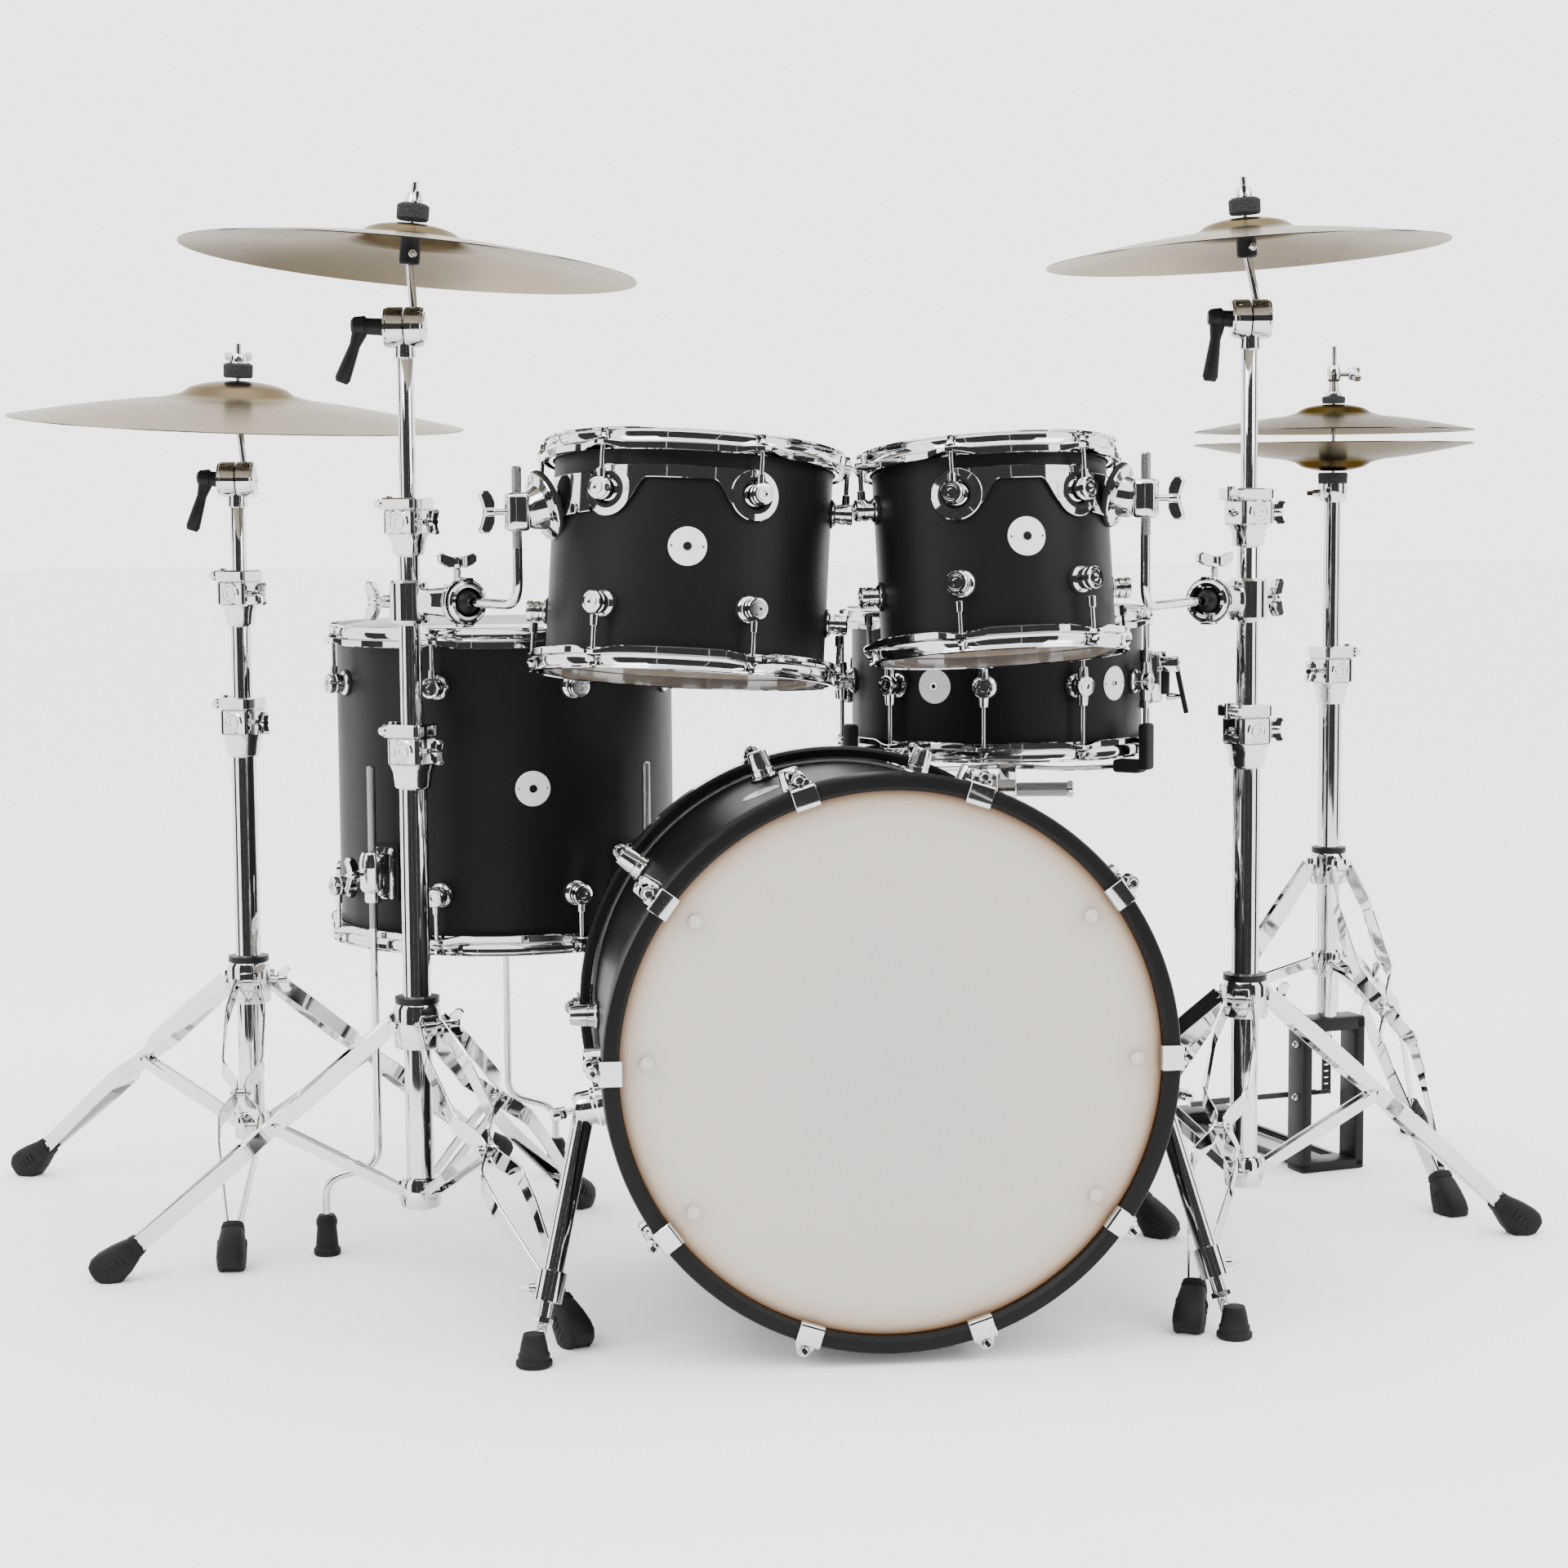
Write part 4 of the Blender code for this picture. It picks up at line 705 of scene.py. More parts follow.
FILM = ((None, 0), (-0.006, 0), (-0.001, -0.0002), (0.003, -0.0035), (0.0035, -0.0060), (0.0030, -0.0060),
        (0.0024, -0.0038), (-0.001, -0.0007), (None, -0.0006))       # out from the shell, from the film's top
FLESH_HOOP = ((0.0028, -0.0055), (0.0066, -0.0055), (0.0066, -0.0105), (0.0028, -0.0105))
BASS_FILM = ((None, 0), (-0.006, 0), (0, -0.0005), (0.0045, -0.005), (0.0045, -0.007), (0.0035, -0.007),
             (-0.001, -0.0012), (None, -0.0008))
BASS_FLESH_HOOP = ((0.0035, -0.006), (0.0064, -0.006), (0.0064, -0.012), (0.0035, -0.012))
BADGE_GROMMET = ((0.0024, 0.0010), (0.0050, 0.0010), (0.0046, 0.0022), (0.0028, 0.0022))
BADGE_HOLE = ((0, 0.0013), (0.0026, 0.0013), (0.0024, 0.0015), (0, 0.0015))
BADGE_PIN = ((0, 0.0010), (0.0014, 0.0010), (0.0010, 0.0022), (0, 0.0024))
CLAW_WIDE = 0.026
CLAW_THICK = 0.0026
CLAW_PROUD = 0.0016
CLAW_BLOCK = (0.010, 0.020, 0.018)
CLAW_KEY = ((0, 0), (0.0032, 0), (0.0030, 0.006), (0.0022, 0.007), (0, 0.007))
SPUR_GASKET = ((0, -0.003), (0.0285, -0.003), (0.0285, 0.001), (0, 0.001))
SPUR_BRACKET = ((0, 0), (0.0270, 0), (0.0270, 0.004), (0.0240, 0.008), (0.0225, 0.012), (0.0225, 0.0215),
                (0, 0.0215))
SPUR_HUB = ((0, 0), (0.0200, 0), (0.0200, 0.003), (0.0185, 0.005), (0.0185, 0.018), (0.0165, 0.022),
            (0, 0.022))
SPUR_CONE = ((0, 0), (0.0170, 0), (0.0190, 0.002), (0.0190, 0.006), (0.0165, 0.008), (0.0165, 0.013),
             (0.0150, 0.015), (0.0135, 0.024), (0.0110, 0.034), (0, 0.034))


def lean_frame(drum):
    z = lean_axis(drum)
    x = (RIGHT - z * z.x).normalized()
    return axes(x, z.cross(x), z, drum["middle"])


def lean_axis(thing):
    """The axis of a drum or stand, leaning right and back by its two angles."""
    right, back = (math.radians(angle) for angle in thing["lean"])
    return Vector((math.sin(right), math.sin(back), 1.0)).normalized()


def bass_frame():
    back = Vector((-math.sin(BASS_YAW) * math.cos(BASS_TILT), math.cos(BASS_YAW) * math.cos(BASS_TILT),
                   -math.sin(BASS_TILT)))
    x = Vector((math.cos(BASS_YAW), math.sin(BASS_YAW), 0.0))
    return axes(x, (-back).cross(x), -back, BASS_FRONT + back * (BASS["depth"] / 2 + BASS_HOOP_PROUD))


def lug_angles(drum):
    return [drum["first_lug"] + 360 / drum["lugs"] * i for i in range(drum["lugs"])]


def shell(name, body, drum, place):
    """Lacquered outside, bare wood inside, with cut bearing edges."""
    radius, half = drum["radius"], drum["depth"] / 2
    edge, inner = radius - BEARING, radius - SHELL_WALL
    wall = Shape(SATIN, WOOD)
    wall.lathe([(edge, half), (radius, half - BEARING), (radius, -half + BEARING), (edge, -half)], steps=144,
               caps=False)
    wall.use(WOOD).lathe([(edge, -half), (inner, -half + BEARING), (inner, half - BEARING), (edge, half)],
                         steps=144, caps=False)
    wall.piece(name + "_wall", body, "black_shell", place, (name + "_shell",))


def lugs(name, body, drum, place, angles, gasket, barrel, steps, double=False):
    """Lugs on their gaskets.  The snare's have an arm up and an arm down."""
    shape = Shape(CHROME, RUBBER)
    out, low, high = LUG_ARM
    for z in drum["rows"]:
        for angle in angles:
            seat = facing(polar(1, angle), polar(drum["radius"], angle, z))
            shape.use(RUBBER).lathe(gasket, seat)
            shape.use(CHROME).lathe(barrel, seat, steps)
            for side in (-1, 1) if double else ():
                root = seat @ (UP * out)
                shape.bar(root + UP * side * low, root + UP * side * high, 0.0070, 0.0058)
    shape.piece(name + "_lugs", body, "chrome", place)


def hoop_section(radius, edge, ear):
    """Triple-flanged hoop cut across.  ear runs from 0 between lugs to 1 at a lug."""
    inner = radius + HOOP_IN
    outer = inner + HOOP_WALL
    rim = edge + HOOP_RISE
    step = edge - 0.0030 + 0.0020 * ear
    low = edge - HOOP_DROP + 0.0052 * ear
    lip = radius + 0.0148 + 0.0072 * ear
    return [(inner, rim - 0.0012), (inner + 0.0008, rim), (outer + 0.0030, rim),
            (outer + 0.0042, rim - 0.0010), (outer + 0.0038, rim - 0.0025), (outer + 0.0008, rim - 0.0031),
            (outer, rim - 0.0045), (outer, step + 0.0026), (outer + 0.0010, step + 0.0008),
            (lip - 0.0010, step), (lip, step - 0.0010), (lip, low + 0.0008), (lip - 0.0010, low),
            (lip - 0.0022, low + 0.0006), (lip - 0.0024, step - 0.0028), (inner, step - 0.0032)]


def ear_share(angle, angles, width):
    gap = min(abs((angle - a + 180) % 360 - 180) for a in angles)
    return 0.5 + 0.5 * math.cos(math.pi * min(gap / width, 1.0))


def metal_hoop(name, body, drum, side, word, place):
    """Hoop with ears, its tension rods, washers and key heads."""
    radius, edge = drum["radius"], drum["depth"] / 2
    angles = lug_angles(drum)
    width = math.degrees(EAR_WIDE / radius)
    flip = Matrix.Diagonal((1, 1, side, 1))
    hoop = Shape(CHROME)
    rings = []
    for i in range(HOOP_STEPS):
        angle = 360 * i / HOOP_STEPS
        section = hoop_section(radius, edge, ear_share(angle, angles, width))
        rings.append([flip @ polar(r, angle, z) for r, z in section])
    hoop.loft(rings, loop=True)
    hoop.piece(f"{name}_{word}_rim", body, "chrome", place, (f"{name}_{word}_hoop",))
    rods = Shape(CHROME, BLACK)
    row = max(drum["rows"])
    low, high, *nut = ROD_NUT
    up = UP * side
    for angle in angles:
        spot = polar(radius + ROD_OUT, angle)
        ear = spot + up * (edge - 0.0012)
        rods.use(CHROME).bar(spot + up * (row + 0.010), ear, ROD_THICK, steps=12)
        rods.bar(spot + up * (row + low), spot + up * (row + high), *nut, 16)
        rods.use(BLACK).lathe(ROD_WASHER, facing(up, ear), 20)
        rods.use(CHROME).lathe(ROD_HEAD, facing(up, ear), 20)
        rods.lathe(ROD_KEY, facing(up, ear), 4)
    rods.piece(f"{name}_{word}_rods", body, "chrome", place)


def head(name, body, node, film, slot, place, profiles, radius, top, side, steps):
    """Film with its collar, on an aluminium flesh hoop."""
    flip = Matrix.Diagonal((1, 1, side, 1))
    shape = Shape(film, CHROME)
    shape.lathe(shifted(profiles[0], radius, top), flip, steps[0])
    shape.use(CHROME).lathe(shifted(profiles[1], radius, top), flip, steps[1], loop=True)
    return shape.piece(name, body, slot, place, (node,))


def wrapped(drum_radius, angle, z, profile, steps):
    """Rings of (radius, lift) points laid on a drum's wall round the point at angle and height z."""
    rings = []
    for r, lift in profile:
        flat = [polar(r, 360 * i / steps) for i in range(steps)]
        rings.append([polar(drum_radius + lift, angle + math.degrees(p.x / drum_radius),
                            z + p.y) for p in flat])
    return rings


def badge(name, body, radius, angle, z, place, size=0.0205):
    """Plain round badge wrapped on the shell, with a vent grommet and two pins, and no mark."""
    shape = Shape(SILVER, CHROME, BLACK)
    disc = ((TINY, 0.0012), (size * 0.94, 0.0012), (size, 0.0004), (size, -0.0015))
    shape.loft(wrapped(radius, angle, z, disc, 48), caps=False)
    border = ((size * 1.06, -0.0015), (size * 1.06, 0.0003), (size, 0.0003))
    shape.use(BLACK).loft(wrapped(radius, angle, z, border, 48), caps=False)
    hub = facing(polar(1, angle), polar(radius, angle, z))
    shape.use(CHROME).lathe(BADGE_GROMMET, hub, 24, loop=True)
    shape.use(BLACK).lathe(BADGE_HOLE, hub, 24)
    for side in (-1, 1):
        pin = polar(radius, angle + math.degrees(side * size * 0.82 / radius), z)
        shape.use(CHROME).lathe(BADGE_PIN, facing(polar(1, angle), pin), 12)
    shape.piece(name + "_badge", body, "chrome", place)


def round_drum(drum, body):
    name = drum["name"]
    place = lean_frame(drum)
    shell(name, body, drum, place)
    lugs(name, body, drum, place, lug_angles(drum), LUG_GASKET, TURRET, 28, drum is SNARE)
    top = drum["depth"] / 2 + FILM_SEAT
    for side, word, film, slot in ((1, "top", COATED, "coated_head"), (-1, "bottom", CLEAR, "clear_head")):
        metal_hoop(name, body, drum, side, word, place)
        head(f"{name}_{word}_film", body, f"{name}_{word}_head", film, slot, place, (FILM, FLESH_HOOP),
             drum["radius"], top, side, (128, 96))
    return place


def bass_drum():
    place = bass_frame()
    body = "floor_set"
    shell("bass", body, BASS, place)
    half = BASS["depth"] / 2
    face = half + BASS_HOOP_PROUD
    back = face - BASS_HOOP_WIDTH
    angles = [360 / BASS_LUGS * i for i in range(BASS_LUGS)]
    lugs("bass", body, BASS, place, angles, CONE_GASKET, CONE_LUG, 32)
    outer, inner = BASS_HOOP_OUTER, BASS_HOOP_INNER
    hoop = [(BASS_LAP, half + 0.0045), (BASS_LAP, face - 0.004), (BASS_LAP + 0.004, face),
            (outer - 0.004, face), (outer - 0.0012, face - 0.0012), (outer, face - 0.004),
            (outer, back + 0.003), (outer - 0.003, back), (inner + 0.001, back), (inner, back + 0.001),
            (inner, half + 0.0045)]
    for side, word, film, slot, node in ((1, "front", IVORY, "ivory_head", "bass_front_head"),
                                         (-1, "rear", COATED, "coated_head", "bass_batter_head")):
        flip = Matrix.Diagonal((1, 1, side, 1))
        wood = Shape(SATIN, CHROME)
        wood.lathe(hoop, flip, 160, loop=True)
        for low, high in REAR_INLAYS if side < 0 else ():
            wood.use(CHROME).lathe([(outer - 0.001, back + low), (outer + 0.0003, back + low + 0.0003),
                                    (outer + 0.0003, back + high - 0.0003), (outer - 0.001, back + high)],
                                   flip, 160, loop=True)
        wood.piece(f"bass_{word}_ring", body, "black_hoop", place, (f"bass_{word}_hoop",))
        claws(word, body, place, flip, face, angles)
        top = half + 0.0010
        made = head(f"bass_{word}_film", body, node, film, slot, place, (BASS_FILM, BASS_FLESH_HOOP),
                    BASS["radius"], top, side, (160, 120))
        if side > 0:
            drill(made, top)
    badge("bass", body, BASS["radius"], 112, -0.03, place, 0.0215)
    for side, word in ((-1, "left"), (1, "right")):
        spur(side, word, place)


def drill(thing, height):
    """Cuts the six air holes through the front head."""
    cutter = Shape(CHROME)
    for angle in VENT_ANGLES:
        start = polar(VENT_CIRCLE, angle, height - 0.01)
        cutter.bar(start, start + UP * 0.02, VENT_RADIUS, steps=40, edge=0.0001)
    tool = placed("holes", cutter.welded("holes"), thing.matrix_world)
    cut = thing.modifiers.new("holes", "BOOLEAN")
    cut.object = tool
    cut.operation = "DIFFERENCE"
    bpy.context.view_layer.update()
    result = bpy.data.meshes.new_from_object(thing.evaluated_get(bpy.context.evaluated_depsgraph_get()))
    thing.modifiers.remove(cut)
    thing.data = result
    bpy.data.objects.remove(tool, do_unlink=True)


def claws(word, body, place, flip, face, angles):
    """Hooks over the wooden hoop, each with a boss for its key rod."""
    shape = Shape(CHROME, BLACK)
    outer, inner = BASS_HOOP_OUTER + CLAW_PROUD, BASS_LAP - 0.0022
    path = rounded([Vector((inner, 0, face - 0.0060)), Vector((inner, 0, face + CLAW_PROUD)),
                    Vector((outer, 0, face + CLAW_PROUD)), Vector((outer, 0, face - 0.0330))], 0.003)
    rod = BASS["radius"] + BASS_ROD_OUT
    for angle in angles:
        turn = flip @ spin(angle)
        shape.sweep([turn @ p for p in path], strap_section(CLAW_WIDE, CLAW_THICK), flat=turn.to_3x3() @ BACK)
        axis = turn.to_3x3() @ UP
        boss = turn @ Vector((rod, 0, face - 0.030))
        tip = boss + axis * 0.020
        shape.bar(boss, tip, 0.0085, 0.0076)
        shape.box(CLAW_BLOCK, turn @ at(BASS_HOOP_OUTER + 0.004, 0, face - 0.018), 0.0025)
        start = turn @ Vector((rod, 0, BASS_LUG_ROW + 0.010))
        shape.bar(start, boss, ROD_THICK + 0.0004, steps=12)
        shape.bar(start, start + axis * 0.010, 0.0050, 0.0044, 16)
        shape.bar(tip, tip + axis * 0.006, 0.0060, 0.0044)
        shape.use(BLACK).lathe(CLAW_KEY, facing(axis, tip + axis * 0.005), 4)
        shape.use(CHROME)
    shape.piece(f"bass_{word}_claws", body, "chrome", place)


def spur(side, word, place):
    """Folding spur: bracket, hub, tube, clamp with a key screw, threaded end and rubber foot."""
    angle = SPUR_ANGLE if side > 0 else 180 - SPUR_ANGLE
    seat = polar(BASS["radius"], angle, SPUR_ROW)
    outward = polar(1, angle)
    bracket = Shape(CHROME, RUBBER)
    bracket.use(RUBBER).lathe(SPUR_GASKET, facing(outward, seat))
    bracket.use(CHROME).lathe(SPUR_BRACKET, facing(outward, seat), 40)
    bracket.piece(f"spur_{word}_bracket", "floor_set", "chrome", place)
    pivot = seat + outward * 0.0224
    leg = Shape(CHROME, RUBBER, THREAD, BLACK)
    leg.lathe(SPUR_HUB, facing(outward, pivot), 40)
    ringed_end(leg, pivot + outward * 0.022, outward, 0.0150)
    wing_screw(leg, pivot + outward * 0.020, outward, "spur")
    start = pivot + outward * 0.012
    level = Vector((outward.x, 0, 0)).normalized()
    floor_point = place @ (start + level * SPUR_FOOT.x + UP * SPUR_FOOT.z)
    floor_point.z = 0.0
    along = (place.inverted() @ floor_point) - start
    length = along.length
    along.normalize()
    leg.bar(start, start + along * length * 0.72, 0.0112)
    leg.bar(start + along * length * 0.64, start + along * length * 0.76, 0.0155)
    key_screw(leg, start + along * length * 0.70 + level * 0.014, level, 0.016)
    leg.bar(start + along * length * 0.74, start + along * (length - 0.045), 0.0078)
    leg.use(THREAD).bar(start + along * (length - 0.062), start + along * (length - 0.028), 0.0056)
    leg.use(CHROME).bar(start + along * (length - 0.050), start + along * (length - 0.044), 0.0105, steps=6)
    leg.use(RUBBER).lathe(SPUR_CONE, facing(place.to_3x3().inverted() @ UP, place.inverted() @ floor_point))
    leg.piece(f"spur_{word}_leg", f"spur_{word}", "chrome", place, (f"spur_{word}",))


# ---------------------------------------------------------------- rack tom mounts
BAND_TOP = BAND_OUT + BAND_THICK + 0.0004
BAND_RING = ((RING_INNER, BAND_OUT), (RING_INNER, BAND_TOP - 0.0006), (RING_INNER + 0.0008, BAND_TOP),
             (RING_OUTER - 0.0010, BAND_TOP), (RING_OUTER, BAND_TOP - 0.0008), (RING_OUTER, BAND_OUT))
BAND_GROMMET = ((0.0150, 0.0010), (0.0150, BAND_TOP + 0.0012), (0.0164, BAND_TOP + 0.0022),
                (0.0186, BAND_TOP + 0.0018), (0.0196, BAND_TOP + 0.0002), (0.0192, 0.0010))
BAND_DROP = 0.0135
BRACKET_BOSS = ((0, 0), (0.0180, 0), (0.0180, 0.009), (0, 0.009))
BRACKET_RUBBER = ((None, 0.0070), (0, 0.0070), (0.0016, 0.0086), (0.0016, 0.0112), (0, 0.0126),
                  (None, 0.0126))
BRACKET_RIM = ((None, 0.0120), (-0.0006, 0.0120), (0, 0.0134), (-0.0008, 0.0148))
ARM_GRIP = (0.026, 0.030, 0.042)
GRIP_CAP = ((ARM_THICK + 0.0014, 0), (0.0125, 0), (0.0135, 0.002), (0.0125, 0.006),
            (ARM_THICK + 0.0014, 0.006))
BALL = 0.0148
CLAMP_SLEEVE = ((0, -0.024), (0.007, -0.024), (0.009, -0.021), (0.009, 0.021), (0.007, 0.024), (0, 0.024))
CLAMP_CUP = ((0.0166, 0.0080), (0.0205, 0.0085), (0.0232, 0.0068), (0.0248, 0.0030), (0.0252, -0.0040),
             (0.0244, -0.0110), (0.0218, -0.0170), (0.0170, -0.0208), (0.0100, -0.0222), (0.0100, -0.0175),
             (0.0166, -0.0160))
CUP_BAND = ((0.0248, 0), (0.0262, 0.0006), (0.0262, 0.0022), (0.0248, 0.0028))
CUP_LUG = (0.020, 0.0075, 0.017)
GRIP_WASHER = ((0, 0), (0.0150, 0), (0.0158, 0.0012), (0.0150, 0.0030), (0, 0.0030))
CLAMP_BACK = (0.034, 0.026, 0.012)


def bracket_angle(drum):
    return -BRACKET_FORWARD if drum["side"] > 0 else BRACKET_FORWARD - 180


def arm_axis(drum, z):
    return drum["middle"] + polar(drum["radius"] + ARM_OUT, bracket_angle(drum), z)


def arm_corner(drum):
    """Where the upright's axis meets the height of the ball."""
    corner = arm_axis(drum, 0.0)
    corner.z = drum["ball"].z
    return corner


def curved(shape, drum, rows, lift):
    """Skins a strip on the tom: rows of (degrees, low, high), lifted off the shell."""
    inner = drum["radius"] + BAND_OUT + lift
    outer = inner + BAND_THICK
    c = 0.0007
    shape.loft([[polar(r, angle, z) for r, z in ((outer - c, low), (outer, low + c), (outer, high - c),
                                                 (outer - c, high), (inner, high), (inner, low))]
                for angle, low, high in rows])


def smooth_step(t):
    t = min(max(t, 0.0), 1.0)
    return t * t * (3 - 2 * t)


def tom_band(drum, goal, place):
    """Suspension band between two lugs, a ring and grommet round each, and a strip back to the bracket."""
    name, radius, row = drum["name"], drum["radius"], max(drum["rows"])
    first, second = lug_angles(drum)[:2]
    shape = Shape(CHROME, RUBBER)
    for angle in (first, second):
        shape.use(CHROME).loft(wrapped(radius, angle, row, BAND_RING, 56), loop=True)
        shape.use(RUBBER).loft(wrapped(radius, angle, row, BAND_GROMMET, 40), loop=True)
    high = row + RING_OUTER - 0.001
    rows = []
    for i in range(61):
        t = i / 60
        near = min(t, 1 - t) * math.radians(second - first) * radius
        drop = BAND_DROP + 0.026 * (1 - smooth_step((near - RING_OUTER * 0.82) / 0.022))
        rows.append((first + (second - first) * t, high - (drop if near > RING_OUTER * 0.74 else BAND_DROP),
                     high))
    curved(shape.use(CHROME), drum, rows, 0.0)
    near_lug = first if drum["side"] < 0 else second
    span = (goal - near_lug + 180) % 360 - 180
    begin = math.copysign(math.degrees(RING_OUTER * 0.80 / radius), span)
    curved(shape, drum, [(near_lug + begin + (span - begin) * i / 12, row - 0.022 - 0.004 * i / 12,
                          row + 0.020) for i in range(13)], 0.0002)
    shape.piece(name + "_band", name, "chrome", place, (name + "_mount",))


def tom_mount(drum):
    """Suspension band, conical bracket, rubber ring, grip and wing nut."""
    place = lean_frame(drum)
    goal = bracket_angle(drum)
    tom_band(drum, goal, place)
    outward = polar(1.0, goal)
    centre = arm_axis(drum, BRACKET_ROW)
    root = place @ polar(drum["radius"] + BAND_OUT, goal, BRACKET_ROW)
    reach = (centre - root).length
    seat = facing(centre - root, root)
    wide = 0.038 if drum is TOM12 else 0.034
    cone = Shape(CHROME, RUBBER)
    cone.lathe(BRACKET_BOSS, seat)
    cone.use(RUBBER).lathe(shifted(BRACKET_RUBBER, wide), seat, 56)
    cone.use(CHROME).lathe([*shifted(BRACKET_RIM, wide), (wide * 0.80, 0.0166), (wide * 0.78, 0.0158),
                            (wide * 0.66, 0.0176), (0.0200, reach - 0.014), (0.0165, reach - 0.009),
                            (0, reach - 0.009)], seat, 56)
    cone.box(ARM_GRIP, at(centre + UP * 0.004) @ spin(goal), 0.006, 3)
    for z in (-0.014, 0.018):
        cone.lathe(GRIP_CAP, at(centre + UP * z), loop=True)
    wing_screw(cone, centre + outward * 0.010 + UP * 0.004, outward, "bracket")
    cone.piece(drum["name"] + "_bracket", drum["name"], "chrome")


def tom_arm(drum):
    """L-arm: knurled upright, bend, polished level run and the ball."""
    centre, corner, body = drum["ball"], arm_corner(drum), drum["name"] + "_arm"
    inward = (centre - corner).normalized()
    path = rounded([arm_axis(drum, 0.020), corner, centre - inward * 0.004], 0.026, 12)
    polished = Shape(CHROME, BLACK)
    polished.wire(path, ARM_THICK + 0.0002)
    ball = [(BALL * math.sin(math.pi * i / 16), -BALL * math.cos(math.pi * i / 16)) for i in range(17)]
    polished.use(BLACK).lathe(ball, at(centre))
    polished.piece(body + "_rod", body, "chrome", Matrix(), (body,))
    upright = Shape(KNURL)
    upright.bar(arm_axis(drum, -0.008), arm_axis(drum, ARM_TOP), ARM_THICK, steps=28, edge=0.0018)
    upright.piece(body + "_knurl", body, "chrome")


def tom_clamp(drum, stand):
    """Cast clamp on the stand's tube with a ball socket, a top screw and a sprung wing bolt."""
    centre, body = drum["ball"], drum["name"] + "_clamp"
    tube = Vector((*stand["at"], centre.z))
    inward = (centre - tube).normalized()
    gap = (centre - tube).length
    shape = Shape(CHROME, THREAD)
    shape.lathe(shifted(CLAMP_SLEEVE, MIDDLE_TUBE + 0.0009), at(tube), loop=True)
    neck = facing(inward, tube + inward * 0.010)
    shape.loft([rounded_ring(neck @ (UP * reach), neck.to_3x3() @ RIGHT, UP, wide, tall, 32, 0.7) for reach,
                wide, tall in ((0.0, 0.0120, 0.0200), (0.006, 0.0125, 0.0200), (0.014, 0.0100, 0.0150),
                               (gap - 0.040, 0.0145, 0.0165), (gap - 0.020, 0.0170, 0.0190))])
    cup = facing(arm_corner(drum) - centre, centre)
    shape.lathe(CLAMP_CUP, cup, 48, loop=True)
    for z in (-0.0052, 0.0002):
        shape.lathe(shifted(CUP_BAND, 0, z), cup, 48, loop=True)
    for side in (-1, 1):
        shape.box(CUP_LUG, cup @ at(0, side * 0.0240, -0.003) @ spin(90, "Y"), 0.0025)
    grip = centre - inward * 0.010 + UP * 0.019
    shape.lathe(GRIP_WASHER, at(grip - UP * 0.0012))
    shape.use(THREAD).bar(grip, grip + UP * 0.018, 0.0042)
    wing_screw(shape.use(CHROME), grip + UP * 0.007, UP, "clamp_top")
    back = tube - inward * 0.014
    shape.use(THREAD).bar(back, back - inward * 0.034, 0.0046)
    shape.use(CHROME).box(CLAMP_BACK, facing(-inward, back) @ spin(90), 0.003)
    coil = facing(-inward, back - inward * 0.008)
    shape.wire([coil @ polar(0.0068, 30 * i, 0.0155 * i / 72) for i in range(73)], 0.0011, 8)
    wing_screw(shape, back - inward * 0.014, -inward, "clamp_back")
    shape.piece(body + "_casting", body, "chrome", Matrix(), (body,))


# ---------------------------------------------------------------- floor tom legs
BRACKET_DROP = -0.098
BRACKET_PAD = (0.004, 0.040, 0.066)
BRACKET_PLATE = (0.008, 0.036, 0.062)
BRACKET_CHEEK = (0.020, 0.009, 0.050)
LEG_BORE = LEG_ROD + 0.0012
LEG_SLEEVE = ((LEG_BORE, -0.118), (0.0125, -0.118), (0.0150, -0.114), (0.0155, -0.086), (0.0145, -0.078),
              (0.0120, -0.072), (LEG_BORE, -0.072))
LEG_LOCK = ((LEG_BORE, -0.131), (0.0090, -0.131), (0.0098, -0.129), (0.0098, -0.119), (LEG_BORE, -0.119))
LEG_SHOE = ((0, 0), (0.0145, 0), (0.0160, 0.002), (0.0160, 0.007), (0.0135, 0.010), (0.0115, 0.034),
            (0.0125, 0.037), (0.0125, 0.042), (0.0095, 0.048), (0, 0.048))


